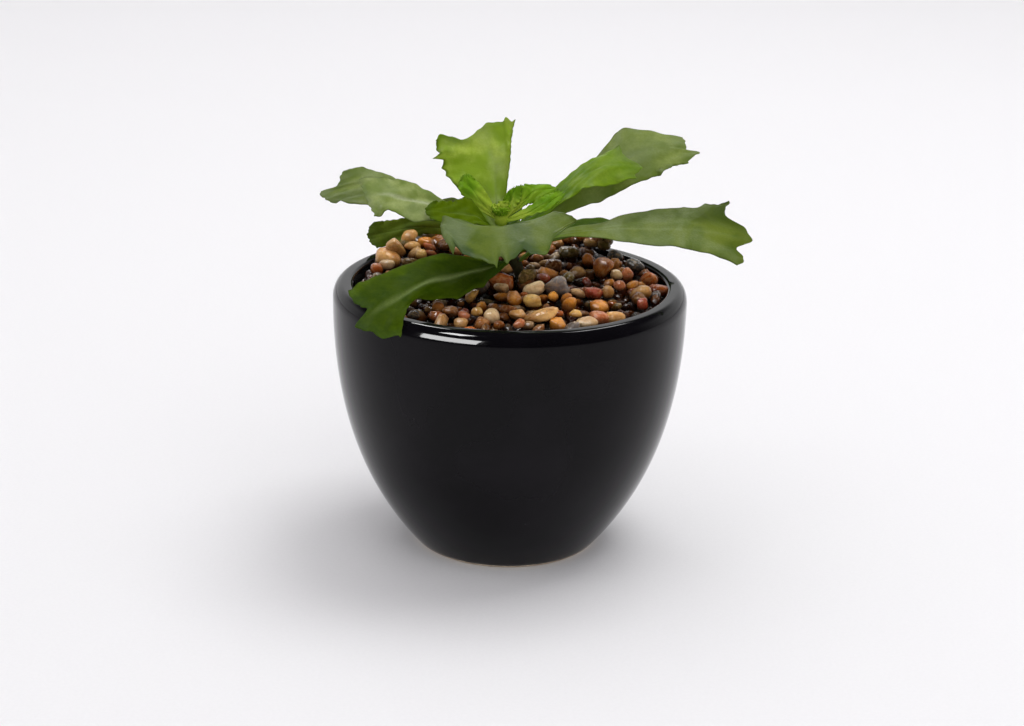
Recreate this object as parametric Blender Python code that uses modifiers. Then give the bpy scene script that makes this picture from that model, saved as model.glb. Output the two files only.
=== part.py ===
"""A ruffled rosette plant in a round glazed pot that is topped with pebbles.

Metres, +Z up. The origin is the middle of the pot's flat foot. The plant's front faces -Y.
"""

import math
import random
from typing import NamedTuple

import bmesh
import bpy
from mathutils import Euler, Matrix, Vector

MM = 0.001
GAP = 0.3 * MM
MERGE_WITHIN = 0.01 * MM
SHARP_FROM_DEGREES = 40

POT_RADIUS = 60 * MM
POT_HEIGHT = 92 * MM
FOOT_RADIUS = 31 * MM
SHOULDER_HEIGHT = 87 * MM
LIP_ROUND = 3 * MM
WALL = 7 * MM
POT_FLOOR = 8 * MM
POT_SIDES = 40
SIDE_CROWDING = 1.25
SIDE_STEPS = 10
INSIDE_STEPS = 6
LIP_STEPS_INSIDE = 4
LIP_STEPS_OUTSIDE = 5
FLARE = 2.1
LOW_FLARE_SHARE = 0.28

MEDIUM_TOP = 80 * MM
BED_RADIUS = 52.4 * MM
BED_EDGE_TOP = 90.6 * MM
BED_SLOPE = 0.055
BED_MOUND = 1.6 * MM
BED_RINGS = 4
HEAPS = (
    # x, y, radius, height in millimetres
    (-27, 25, 18, 3.5),
    (29, 37, 16, 1.5),
)
STONES = 118
STONE_SIZES = (3.5 * MM, 4.9 * MM)
STONE_FLATNESS = (0.6, 0.85)
STONE_WIDTHS = (0.7, 0.95)
STONE_LEAN = 0.5
STONE_SINK = 0.15
STONE_ROUGHNESS = 0.1
STONE_SCATTER = 1 * MM
STONE_TWIST = 0.03
STONE_SEED = 11
GOLDEN_ANGLE = math.pi * (3 - math.sqrt(5))

STEM_FOOT = 66 * MM
STEM_TOP = 110.8 * MM
STEM_BEND = 92 * MM
STEM_RADIUS = 2.4 * MM
STEM_FOOT_RADIUS = 1.7 * MM
STEM_SWELLS = (94 * MM, 99 * MM)
STEM_START_X = 3.5 * MM
STEM_LEAN = 7 * MM
STEM_RINGS = 10
STEM_ROUNDNESS = 2
HOLE_CLEARANCE = 0.4 * MM
HOLE_SIDES = 24

BLADE_THICKNESS = 0.8 * MM
RUFFLED_FROM = 0.15
RUFFLED_FULLY_FROM = 0.5
RUFFLE_POWER = 2.5
SIDE_TOOTH_POWER = 1.5
TOOTH_POWER = 1.2
SIDE_PHASE = 0.35
END_GROWS_FROM = 0.5
LOOK_AHEAD = 0.01

HEART_RADIUS = 2.4 * MM
HEART_CURLS = 6
CURL_TWIST = 0.2
HEART_SEED = 5
CURL_RISE = 3
CURL_HEIGHTS = (3.2, 4.6)
CURL_CUP = 0.4
CURL_ROWS = ((0.4, 0, 0.8), (1.8, 0.6, 1.5), (2.4, 1, 0.9))


class Leaf(NamedTuple):
    """A blade by its left margin, rib and right margin, seen from its base, in millimetres.

    foot is where a leaf leaves the stem: height, direction in degrees and width. rows follow
    it to the tip. tip says how far the end reaches past the last row across the blade, from
    -1 at the left corner to 1 at the right one. teeth are (edge, place, reach, half width)
    with edge L, R or T. ruffle is the margins' wave height, and waves their number.
    """

    foot: tuple
    rows: tuple
    tip: tuple = ((-1, 0), (1, 0))
    teeth: tuple = ()
    ruffle: tuple = (0.5, 0.5)
    waves: tuple = (2, 2)
    cells: tuple = (14, 8)


LEAVES = {
    "leaf_back_tall": Leaf(
        foot=(108.5, 97, 3.2),
        rows=(
            ((-13.5, 7.5, 116.5), (-5.5, 9.5, 118), (-2, 8, 121)),
            ((-22, 10, 126), (-6.5, 14, 128), (-1, 12, 131)),
            ((-24, 11, 132.5), (-8.5, 17, 135), (-0.5, 16, 137.5)),
            ((-26.5, 10, 139), (-11, 18, 140.5), (1, 18, 143.5)),
        ),
        tip=(
            (-1, -1),
            (-0.88, 0.5),
            (-0.7, -0.5),
            (-0.5, -2.5),
            (-0.4, -2.5),
            (-0.05, 0),
            (0.2, 1.5),
            (0.6, 1),
            (0.75, 2),
            (0.86, 0),
            (1, 0.5),
        ),
        teeth=(("L", 0.86, 1, 0.13), ("L", 0.755, 3.5, 0.05), ("L", 0.6, 1, 0.05), ("L", 0.5, 0.5, 0.03)),
        ruffle=(1.2, 0.5),
        waves=(3, 1.5),
        cells=(20, 8),
    ),
    "leaf_right_high": Leaf(
        foot=(105.5, 30, 3),
        rows=(
            ((15, 13, 119.5), (14, 10.5, 116.5), (15, 7.5, 112.5)),
            ((29.5, 24, 131), (31, 18, 126), (32.5, 12, 119)),
            ((39, 30, 139), (46, 22, 132.5), (48, 14, 126)),
            ((58.5, 29, 136.5), (63, 22, 133), (55.5, 16, 128.5)),
        ),
        tip=(
            (-1, -0.5),
            (-0.5, -3),
            (-0.2, -4),
            (-0.08, 1),
            (0.2, 0),
            (0.55, -0.5),
            (0.7, 1),
            (0.78, -3.5),
            (1, -1.5),
        ),
        teeth=(("R", 0.86, 1, 0.06),),
        ruffle=(0.5, 0.8),
        waves=(2, 3),
        cells=(16, 8),
    ),
    "leaf_right_inner": Leaf(
        foot=(108.5, 5, 2.6),
        rows=(
            ((8.5, 8.5, 117.5), (10, 6, 116), (12.5, 3.5, 115)),
            ((19, 11.5, 126.5), (20, 8, 124.5), (22, 4.5, 122.5)),
            ((28, 15, 132), (30.5, 10.5, 130), (31.5, 6, 124.5)),
            ((36, 17, 136), (43, 12.5, 130.5), (42, 9, 126.5)),
        ),
        tip=((-1, 0), (-0.6, -2.5), (-0.35, -2.5), (0.1, 0.5), (0.4, -0.5), (0.7, -2), (1, 0)),
        ruffle=(0.7, 0.7),
        waves=(2, 3),
    ),
    "leaf_right_long": Leaf(
        foot=(100, -28, 3),
        rows=(
            ((12.5, -2, 109), (13, -4, 109), (13.5, -6, 108.5)),
            ((28, 2, 112.5), (28.5, -4, 111.5), (29, -9, 110.5)),
            ((47.5, 4, 117), (47.5, -4, 112.5), (46, -12, 109)),
            ((64.5, 5, 118), (65, -4, 112.5), (62.5, -13, 108)),
            ((73.5, 4, 120.5), (80.5, -5, 109.5), (76, -14, 103)),
        ),
        tip=(
            (-1, -0.5),
            (-0.8, -4),
            (-0.58, -6.5),
            (-0.35, -1),
            (0, 0),
            (0.35, -5),
            (0.42, -5),
            (0.65, -1.5),
            (0.85, -0.5),
            (1, -1),
        ),
        teeth=(("L", 0.72, 1, 0.04), ("L", 0.82, 1, 0.04)),
        ruffle=(0.4, 0.4),
        waves=(4, 3),
        cells=(20, 8),
    ),
    "leaf_front": Leaf(
        foot=(106, 266, 4),
        rows=(
            ((11, -13, 117), (-1, -15, 113), (-11, -14, 115)),
            ((14, -22, 122.5), (-3.5, -26, 118), (-21.5, -22, 119.5)),
            ((21, -29, 121), (-2.5, -36, 115), (-22.5, -31, 117.5)),
            ((20.5, -33, 119), (-1.5, -43, 111), (-18.5, -40, 112)),
        ),
        tip=(
            (-1, -3.5),
            (-0.72, -2.5),
            (-0.6, 2.5),
            (-0.4, 0),
            (-0.3, -3.5),
            (-0.12, -1),
            (0.08, -3.5),
            (0.24, 0),
            (0.45, -2.5),
            (0.75, -3),
            (0.9, -5),
            (1, -0.5),
        ),
        teeth=(("T", 0.15, 4, 0.05), ("T", -0.02, 3.5, 0.06)),
        cells=(14, 24),
    ),
    "leaf_front_left": Leaf(
        foot=(99, 205, 3),
        rows=(
            ((-7, -15.5, 97), (-8.5, -12, 99.5), (-9.5, -8, 102)),
            ((-17, -30, 95.5), (-18.5, -23, 100), (-22, -14, 105)),
            ((-30.5, -38, 96), (-28, -32, 100), (-33.5, -22, 104)),
            ((-33, -47, 94.5), (-39, -44, 96.5), (-46, -34, 102)),
            ((-34, -52, 88.5), (-47, -50, 92.5), (-51.5, -40, 99.5)),
        ),
        tip=(
            (-1, 0.5),
            (-0.9, -0.5),
            (-0.75, 2.5),
            (-0.5, 1.5),
            (-0.2, 2),
            (0, 2.5),
            (0.25, -5),
            (0.4, -3),
            (0.7, -1),
            (1, 0.5),
        ),
        teeth=(("L", 0.25, 1.5, 0.05), ("L", 0.4, 1, 0.05)),
        cells=(18, 8),
    ),
    "leaf_left_far": Leaf(
        foot=(105.5, 158, 3),
        rows=(
            ((-13, 3, 110), (-15, 5, 113.5), (-18, 6, 118.5)),
            ((-25, 4.5, 113.5), (-26, 8, 116), (-26.5, 12, 117)),
            ((-38, 6, 115), (-38.5, 11, 118.5), (-39, 17, 122.5)),
            ((-51.5, 8, 115.5), (-52, 13, 120.5), (-50, 20, 125.5)),
            ((-61, 10, 116), (-65.5, 14, 118), (-57.5, 21, 124)),
        ),
        tip=((-1, 0), (-0.5, -1), (0, 0), (0.06, 0), (0.2, -5), (0.5, -4), (0.8, -1.5), (1, 0)),
        teeth=(("L", 0.92, -1.5, 0.05),),
        ruffle=(0.6, 0.5),
        waves=(4, 2),
    ),
    "leaf_left_near": Leaf(
        foot=(108.3, 187, 2.6),
        rows=(
            ((-18, -6, 114), (-20, -3, 116.5), (-20.5, 0, 118.5)),
            ((-31, -12, 115.5), (-33.5, -6, 121), (-34, 0, 125.5)),
            ((-39.5, -13, 119), (-42.5, -7, 123), (-43.5, 0, 127.5)),
            ((-45, -13, 117), (-48.5, -8, 122.5), (-51, -1, 126.5)),
        ),
        ruffle=(0.6, 0.5),
        waves=(3, 2),
    ),
    "leaf_left_low": Leaf(
        foot=(102, 140, 3),
        rows=(
            ((-16.5, 16, 101.5), (-17.5, 19, 103), (-19, 23, 104.5)),
            ((-28.5, 37, 98), (-31, 39, 100), (-33, 41, 102.5)),
            ((-40, 38.5, 94), (-42.5, 40, 97.5), (-43.5, 41, 101.5)),
            ((-47.5, 36, 92.5), (-51, 38, 96.5), (-49, 40, 101)),
        ),
        ruffle=(0.4, 0.4),
        waves=(3, 3),
    ),
    "leaf_left_inner": Leaf(
        foot=(109.8, 228, 2.2),
        rows=(
            ((-10, -10, 114.5), (-11.5, -7, 116), (-13.5, -3, 121)),
            ((-18, -14, 115), (-19, -10, 118), (-19.5, -6.5, 121.5)),
            ((-25.5, -13.5, 116.5), (-28.5, -11, 119), (-26, -8.5, 121.5)),
        ),
        ruffle=(0.3, 0.3),
        cells=(12, 7),
    ),
    "leaf_back_low": Leaf(
        foot=(104, 93, 3),
        rows=(
            ((-8, 16, 109), (-2, 16, 108.5), (3, 16, 109.5)),
            ((-9.5, 33, 111.5), (-3, 33, 111), (3.5, 33, 112)),
            ((-9, 48, 106.5), (-3, 51, 105.5), (3, 48, 107)),
        ),
        tip=((-1, 0), (-0.5, -1.5), (0, 0), (0.5, -2), (1, 0)),
        cells=(14, 7),
    ),
    "leaf_right_back": Leaf(
        foot=(102, 45, 3),
        rows=(
            ((12, 17, 105), (15, 14, 104), (17, 10, 104.5)),
            ((27, 37, 104.5), (32, 31, 103), (37, 24, 103)),
            ((47, 45, 102.5), (54, 39, 101.5), (58, 31, 100.5)),
        ),
        tip=((-1, 0), (-0.5, -2), (0, 0), (0.5, -1.5), (1, 0)),
        cells=(14, 7),
    ),
}

HEART_LEAVES = (
    Leaf(
        foot=None,
        rows=(
            ((-4.6, -0.8, 113.2), (-5, 0, 113.7), (-4.4, 0.8, 114.2)),
            ((-12.5, 2.5, 117), (-10, 2.5, 118.5), (-7.5, 4, 120)),
            ((-18, 4, 122.5), (-14.5, 4.5, 124), (-11.5, 6, 125)),
            ((-17.5, 5.5, 126), (-16, 6, 127.5), (-14, 6.5, 127)),
        ),
        cells=(10, 4),
    ),
    Leaf(
        foot=None,
        rows=(
            ((-4.2, 0.8, 114.2), (-3.5, 1, 114), (-2.8, 0.8, 114)),
            ((-3, 4, 119.5), (-0.5, 5.5, 119.5), (2.5, 3.5, 118.5)),
            ((-1, 5, 122.5), (1, 6, 123.5), (3.5, 5, 124.5)),
        ),
        cells=(6, 4),
    ),
    Leaf(
        foot=None,
        rows=(
            ((-2.5, 1, 114.2), (-2.8, 0.8, 113.7), (-2.5, 0.3, 113.2)),
            ((0.5, 5.5, 120.5), (3.5, 5, 119), (3.5, 3.5, 117)),
            ((3.5, 8, 123.5), (8, 6.5, 122), (7, 4.5, 118.5)),
            ((9.5, 9, 124), (15, 7.5, 123), (13, 5.5, 120.5)),
        ),
        cells=(8, 4),
    ),
    Leaf(
        foot=None,
        rows=(
            ((-2.5, -0.5, 113.4), (-3, -1, 113), (-2.5, -1.5, 112.8)),
            ((4.5, 1.5, 117.5), (4.5, -1, 116), (4.5, -2.5, 115)),
            ((10, 2.5, 121), (11.5, 0.5, 119.5), (12, -1, 117.5)),
            ((14, 3.5, 123), (17.5, 2.5, 122.5), (16, 0.5, 120)),
        ),
        cells=(8, 4),
    ),
)


def clear_scene():
    for item in list(bpy.data.objects):
        bpy.data.objects.remove(item)


def make_collection(name):
    collection = bpy.data.collections.new(name)
    bpy.context.scene.collection.children.link(collection)
    return collection


def make_material(name, colour, roughness):
    material = bpy.data.materials.new(name)
    material.use_nodes = True
    shader = material.node_tree.nodes["Principled BSDF"]
    shader.inputs["Base Color"].default_value = (*colour, 1)
    shader.inputs["Roughness"].default_value = roughness
    return material


def object_from(shape, name, collection, material=None):
    """An object from a bmesh, which is freed."""
    mesh = bpy.data.meshes.new(name)
    shape.to_mesh(mesh)
    shape.free()
    item = bpy.data.objects.new(name, mesh)
    collection.objects.link(item)
    if material:
        mesh.materials.append(material)
    return item


def shade(item):
    item.data.shade_smooth()
    item.data.set_sharp_from_angle(angle=math.radians(SHARP_FROM_DEGREES))


def keep_evaluated(item):
    """Replaces the object's mesh with what its modifiers make of it."""
    graph = bpy.context.evaluated_depsgraph_get()
    made = bpy.data.meshes.new_from_object(item.evaluated_get(graph))
    item.modifiers.clear()
    item.data = made


def mix(start, end, share):
    return start + (end - start) * share


def ease(share):
    share = min(max(share, 0), 1)
    return share * share * (3 - 2 * share)


def outer_radius(height):
    """The pot's side: full at the shoulder and drawn in to the foot."""
    drop = max(0, 1 - height / SHOULDER_HEIGHT)
    share = (1 - LOW_FLARE_SHARE) * drop**FLARE + LOW_FLARE_SHARE * drop ** (2 * FLARE)
    return mix(POT_RADIUS, FOOT_RADIUS, share)


def inner_radius(height):
    return outer_radius(height) - WALL


def arc(centre_radius, centre_height, start, end, steps):
    """Profile points on a round of the lip, between two angles in degrees."""
    for step in range(steps + 1):
        angle = math.radians(mix(start, end, step / steps))
        yield (
            centre_radius + LIP_ROUND * math.cos(angle),
            centre_height + LIP_ROUND * math.sin(angle),
        )


def side_heights(low, high, steps):
    """Heights from high to low, closer together where the side curves in."""
    return [mix(low, high, (1 - step / steps) ** SIDE_CROWDING) for step in range(steps + 1)]


def turned(name, profile, collection, material):
    """A solid of revolution about Z from (radius, height) points, outer side downwards."""
    shape = bmesh.new()
    points = [shape.verts.new((radius, 0, height)) for radius, height in profile]
    for start, end in zip(points, points[1:]):
        shape.edges.new((start, end))
    item = object_from(shape, name, collection, material)
    screw = item.modifiers.new("turn", "SCREW")
    screw.steps = POT_SIDES
    screw.render_steps = POT_SIDES
    screw.use_merge_vertices = True
    screw.merge_threshold = MERGE_WITHIN
    keep_evaluated(item)
    return item


def make_pot(collection):
    round_height = POT_HEIGHT - LIP_ROUND
    profile = [(0, POT_FLOOR), (inner_radius(POT_FLOOR), POT_FLOOR)]
    inside = side_heights(POT_FLOOR, round_height, INSIDE_STEPS)[:-1]
    profile += [(inner_radius(height), height) for height in reversed(inside)][:-1]
    profile += arc(POT_RADIUS - WALL + LIP_ROUND, round_height, 180, 90, LIP_STEPS_INSIDE)
    profile += arc(POT_RADIUS - LIP_ROUND, round_height, 90, 0, LIP_STEPS_OUTSIDE)
    outside = side_heights(0, round_height, SIDE_STEPS)[1:]
    profile += [(outer_radius(height), height) for height in outside]
    profile += [(0, 0)]
    glaze = make_material("black glaze", (0.012, 0.011, 0.014), 0.08)
    pot = turned("pot", profile, collection, glaze)
    shade(pot)
    return pot


def stem_axis(height):
    """The stem's middle at a height: upright in the gravel, then leaning to -X."""
    lean = ease((height - STEM_BEND) / (STEM_TOP - STEM_BEND))
    return Vector((STEM_START_X - STEM_LEAN * lean, 0, height))


def stem_radius(height):
    """The stem is slimmer in the gravel than where its leaves grow."""
    low, high = STEM_SWELLS
    return mix(STEM_FOOT_RADIUS, STEM_RADIUS, ease((height - low) / (high - low)))


def cut_stem_hole(item, collection):
    """Cuts the upright hole that the stem stands in."""
    shape = bmesh.new()
    depth = POT_HEIGHT
    bmesh.ops.create_cone(
        shape,
        cap_ends=True,
        segments=HOLE_SIDES,
        radius1=STEM_FOOT_RADIUS + HOLE_CLEARANCE,
        radius2=STEM_FOOT_RADIUS + HOLE_CLEARANCE,
        depth=depth,
        matrix=Matrix.Translation((STEM_START_X, 0, STEM_FOOT - GAP + depth / 2)),
    )
    drill = object_from(shape, "stem hole drill", collection)
    cut = item.modifiers.new("stem hole", "BOOLEAN")
    cut.operation = "DIFFERENCE"
    cut.object = drill
    keep_evaluated(item)
    bpy.data.objects.remove(drill)


def make_growing_medium(collection):
    heights = side_heights(POT_FLOOR + GAP, MEDIUM_TOP, INSIDE_STEPS)
    profile = [(0, MEDIUM_TOP)]
    profile += [(inner_radius(height) - 2 * GAP, height) for height in heights]
    profile += [(0, POT_FLOOR + GAP)]
    soil = make_material("growing medium", (0.035, 0.022, 0.014), 0.9)
    medium = turned("growing_medium", profile, collection, soil)
    cut_stem_hole(medium, collection)
    return medium


def gravel_height(x, y):
    """The top of the gravel bed: higher round the plant, towards the back and at two heaps."""
    out = min(1, math.hypot(x, y) / BED_RADIUS)
    height = BED_EDGE_TOP + BED_SLOPE * y + BED_MOUND * (1 - out)
    for heap_x, heap_y, radius, rise in HEAPS:
        away = math.hypot(x - heap_x * MM, y - heap_y * MM)
        height += rise * MM * ease(1 - away / (radius * MM))
    return height


def make_bed(collection, material):
    """The bed is turned with a flat top, whose rings are then raised to the gravel's height."""
    top, bottom = POT_HEIGHT, MEDIUM_TOP + GAP
    profile = [(BED_RADIUS * ring / BED_RINGS, top) for ring in range(BED_RINGS + 1)]
    profile += [(BED_RADIUS, bottom), (0, bottom)]
    bed = turned("gravel", profile, collection, material)
    for vert in bed.data.vertices:
        if vert.co.z > bottom + GAP:
            vert.co.z = gravel_height(vert.co.x, vert.co.y)
    return bed


def make_stone(draw, place, size, collection):
    shape = bmesh.new()
    bmesh.ops.create_icosphere(shape, subdivisions=1, radius=1)
    for vert in shape.verts:
        vert.co *= 1 + draw.uniform(-STONE_ROUGHNESS, STONE_ROUGHNESS)
    flat = draw.uniform(*STONE_FLATNESS)
    scale = Matrix.Diagonal((size, size * draw.uniform(*STONE_WIDTHS), size * flat, 1))
    lean = [draw.uniform(-STONE_LEAN, STONE_LEAN) for _ in range(2)]
    turn = Euler((*lean, draw.uniform(0, math.tau)))
    bmesh.ops.transform(
        shape, matrix=Matrix.Translation(place) @ turn.to_matrix().to_4x4() @ scale, verts=shape.verts
    )
    return object_from(shape, "stone", collection)


def stone_places(draw):
    """Places and sizes on a sunflower spiral, clear of the stem and of the pot's wall."""
    for index in range(STONES):
        size = draw.uniform(*STONE_SIZES)
        out = BED_RADIUS * math.sqrt((index + 0.5) / STONES) + draw.uniform(-STONE_SCATTER, STONE_SCATTER)
        out = min(out, BED_RADIUS - size)
        angle = index * GOLDEN_ANGLE + draw.uniform(-STONE_TWIST, STONE_TWIST)
        x, y = out * math.cos(angle), out * math.sin(angle)
        if math.hypot(x - STEM_START_X, y) < STEM_RADIUS:
            continue
        yield Vector((x, y, gravel_height(x, y) + STONE_SINK * size)), size


def make_gravel(collection):
    draw = random.Random(STONE_SEED)
    stone = make_material("gravel", (0.23, 0.12, 0.055), 0.3)
    gravel = make_bed(collection, stone)
    stones = make_collection("stones")
    for place, size in stone_places(draw):
        make_stone(draw, place, size, stones)
    join_collection(gravel, stones)
    cut_stem_hole(gravel, collection)
    return gravel


def linked_verts(start):
    """Every vertex that edges join to the start."""
    found = {start}
    waiting = [start]
    while waiting:
        for edge in waiting.pop().link_edges:
            for vert in edge.verts:
                if vert not in found:
                    found.add(vert)
                    waiting.append(vert)
    return found


def keep_outer_skin(item):
    """Fills the sealed pockets that a union leaves, by keeping only its largest surface."""
    shape = bmesh.new()
    shape.from_mesh(item.data)
    left = set(shape.verts)
    skins = []
    while left:
        skins.append(linked_verts(next(iter(left))))
        left -= skins[-1]
    skins.sort(key=len)
    pockets = [vert for skin in skins[:-1] for vert in skin]
    bmesh.ops.delete(shape, geom=pockets, context="VERTS")
    shape.to_mesh(item.data)
    shape.free()


def join_collection(item, pieces):
    """Unites the pieces with the object and removes them and their collection."""
    join = item.modifiers.new("join", "BOOLEAN")
    join.operation = "UNION"
    join.operand_type = "COLLECTION"
    join.collection = pieces
    join.solver = "EXACT"
    keep_evaluated(item)
    keep_outer_skin(item)
    for piece in list(pieces.objects):
        bpy.data.objects.remove(piece)
    bpy.data.collections.remove(pieces)


def make_stem(collection):
    curve = bpy.data.curves.new("stem", "CURVE")
    curve.dimensions = "3D"
    curve.bevel_depth = STEM_RADIUS
    curve.bevel_resolution = STEM_ROUNDNESS
    curve.use_fill_caps = True
    heights = [STEM_FOOT] + [mix(STEM_BEND, STEM_TOP, step / STEM_RINGS) for step in range(STEM_RINGS + 1)]
    spline = curve.splines.new("POLY")
    spline.points.add(len(heights) - 1)
    for point, height in zip(spline.points, heights):
        point.co = (*stem_axis(height), 1)
        point.radius = stem_radius(height) / STEM_RADIUS
    curve.materials.append(make_material("stem", (0.12, 0.13, 0.05), 0.6))
    stem = bpy.data.objects.new("stem", curve)
    collection.objects.link(stem)
    return stem


def foot_row(foot):
    """The leaf's narrow end against the stem, as left, middle and right points."""
    height, direction, width = foot
    angle = math.radians(direction)
    outward = Vector((math.cos(angle), math.sin(angle), 0))
    leftward = Vector((-math.sin(angle), math.cos(angle), 0)) * width * MM / 2
    middle = stem_axis(height * MM) + outward * (STEM_RADIUS + 2 * GAP)
    return middle + leftward, middle, middle - leftward


def leaf_rows(leaf):
    rows = [[Vector(point) * MM for point in row] for row in leaf.rows]
    return [foot_row(leaf.foot), *rows] if leaf.foot else rows


def on_curve(points, share):
    """A smooth curve through evenly spaced points, from 0 at the first to 1 at the last."""
    last = len(points) - 1
    place = min(max(share, 0), 1) * last
    index = min(int(place), last - 1)
    x = place - index
    before = points[index - 1] if index else points[0] * 2 - points[1]
    after = points[index + 2] if index + 2 <= last else points[last] * 2 - points[last - 1]
    start, end = points[index], points[index + 1]
    leaving = (end - before) / 2
    arriving = (after - start) / 2
    return (
        start * (2 * x**3 - 3 * x**2 + 1)
        + leaving * (x**3 - 2 * x**2 + x)
        + end * (3 * x**2 - 2 * x**3)
        + arriving * (x**3 - x**2)
    )


def eased_between(stations, place):
    """The value at a place between (place, value) stations, level at each of them."""
    for (start, low), (end, high) in zip(stations, stations[1:]):
        if place <= end:
            return mix(low, high, ease((place - start) / (end - start)))
    return stations[-1][1]


def tooth(place, centre, half_width):
    return max(0, 1 - abs(place - centre) / half_width) ** TOOTH_POWER


def blade_point(leaf, rows, along, across):
    """The blade's middle surface at along 0 to 1 from the base and across -1 to 1."""
    left, rib, right = (on_curve([row[side] for row in rows], along) for side in range(3))
    point = (
        rib * (1 - across**2) + left * (across**2 - across) / 2 + right * (across**2 + across) / 2
    )
    ribs = [row[1] for row in rows]
    ahead = (on_curve(ribs, along + LOOK_AHEAD) - on_curve(ribs, along - LOOK_AHEAD)).normalized()
    normal = (right - left).cross(ahead).normalized()
    outward = ((left if across < 0 else right) - rib).normalized()
    edge = "L" if across < 0 else "R"
    side = 0 if across < 0 else 1
    end_reach = eased_between(leaf.tip, across)
    side_reach = 0
    for where, centre, reach, half_width in leaf.teeth:
        if where == "T":
            end_reach += reach * tooth(across, centre, half_width)
        elif where == edge:
            side_reach += reach * tooth(along, centre, half_width) * abs(across) ** SIDE_TOOTH_POWER
    wave = math.sin(math.tau * (leaf.waves[side] * along + SIDE_PHASE * side))
    ruffled = ease((along - RUFFLED_FROM) / (RUFFLED_FULLY_FROM - RUFFLED_FROM))
    lift = leaf.ruffle[side] * ruffled * abs(across) ** RUFFLE_POWER * wave
    point += outward * side_reach * MM
    point += normal * lift * MM
    point += ahead * end_reach * MM * ease((along - END_GROWS_FROM) / (1 - END_GROWS_FROM))
    return point


def make_blade(leaf, name, collection, material):
    """The blade's surface from a grid, in triangles, thickened alike on both faces."""
    steps_along, steps_across = leaf.cells
    shape = bmesh.new()
    bmesh.ops.create_grid(shape, x_segments=steps_across, y_segments=steps_along, size=1)
    rows = leaf_rows(leaf)
    for vert in shape.verts:
        vert.co = blade_point(leaf, rows, (vert.co.y + 1) / 2, vert.co.x)
    bmesh.ops.triangulate(shape, faces=shape.faces)
    blade = object_from(shape, name, collection, material)
    thicken = blade.modifiers.new("thickness", "SOLIDIFY")
    thicken.thickness = BLADE_THICKNESS
    thicken.offset = 0
    blade.data.shade_smooth()
    return blade


def heart_curls(draw):
    """Tiny upright blades round the middle of the heart."""
    centre = stem_axis(STEM_TOP) / MM + Vector((0, 0, CURL_RISE))
    for index in range(HEART_CURLS):
        angle = math.tau * index / HEART_CURLS + draw.uniform(-CURL_TWIST, CURL_TWIST)
        outward = Vector((math.cos(angle), math.sin(angle), 0))
        leftward = Vector((-outward.y, outward.x, 0))
        height = draw.uniform(*CURL_HEIGHTS)
        rows = []
        for out, up, half_width in CURL_ROWS:
            middle = centre + outward * out + Vector((0, 0, up * height))
            inward, aside = outward * -CURL_CUP, leftward * half_width
            rows.append((middle + inward + aside, middle, middle + inward - aside))
        yield Leaf(foot=None, rows=tuple(rows), ruffle=(0.2, 0.2), cells=(3, 2))


def make_heart(collection, material):
    """The youngest leaves, grown together on a small bud above the stem."""
    draw = random.Random(HEART_SEED)
    shape = bmesh.new()
    bud = stem_axis(STEM_TOP) + Vector((0, 0, GAP + HEART_RADIUS))
    bmesh.ops.create_icosphere(
        shape, subdivisions=2, radius=HEART_RADIUS, matrix=Matrix.Translation(bud)
    )
    heart = object_from(shape, "heart", collection, material)
    blades = make_collection("heart blades")
    for leaf in (*HEART_LEAVES, *heart_curls(draw)):
        make_blade(leaf, "heart blade", blades, material)
    join_collection(heart, blades)
    shade(heart)
    return heart


def make_leaves(collection):
    grown = make_material("grown leaf", (0.16, 0.25, 0.09), 0.5)
    for name, leaf in LEAVES.items():
        make_blade(leaf, name, collection, grown)


def main():
    clear_scene()
    collection = make_collection("potted rosette plant")
    make_pot(collection)
    make_growing_medium(collection)
    make_gravel(collection)
    make_stem(collection)
    make_leaves(collection)
    make_heart(collection, make_material("young leaf", (0.3, 0.42, 0.06), 0.5))


main()
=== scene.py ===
"""The looks of the potted rosette: fine leaves, loose pebbles, glaze, floor, light and camera.

Metres, +Z up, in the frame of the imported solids. The tables of leaves and stones are in
millimetres, colours are screen values of 0 to 255, and noise scales are in cells per metre.
"""

import math
import random
from typing import NamedTuple

import bmesh
import bpy
import numpy as np
from mathutils import Matrix, Vector, noise

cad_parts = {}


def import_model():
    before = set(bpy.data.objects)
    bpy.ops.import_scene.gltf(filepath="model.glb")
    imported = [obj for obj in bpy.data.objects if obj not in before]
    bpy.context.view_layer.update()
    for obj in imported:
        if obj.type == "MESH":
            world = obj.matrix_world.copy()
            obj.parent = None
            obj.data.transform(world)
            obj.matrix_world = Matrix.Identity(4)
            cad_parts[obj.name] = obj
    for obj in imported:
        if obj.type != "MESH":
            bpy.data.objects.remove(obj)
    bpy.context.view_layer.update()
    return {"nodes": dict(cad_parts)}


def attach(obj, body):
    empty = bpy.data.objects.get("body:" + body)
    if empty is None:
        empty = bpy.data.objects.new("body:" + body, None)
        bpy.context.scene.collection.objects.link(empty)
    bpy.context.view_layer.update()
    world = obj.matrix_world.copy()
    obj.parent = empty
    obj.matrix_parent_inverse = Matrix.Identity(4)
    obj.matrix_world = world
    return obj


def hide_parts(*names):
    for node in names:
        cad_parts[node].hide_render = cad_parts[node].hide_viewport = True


MM = 0.001
TINY = 1e-12

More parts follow.
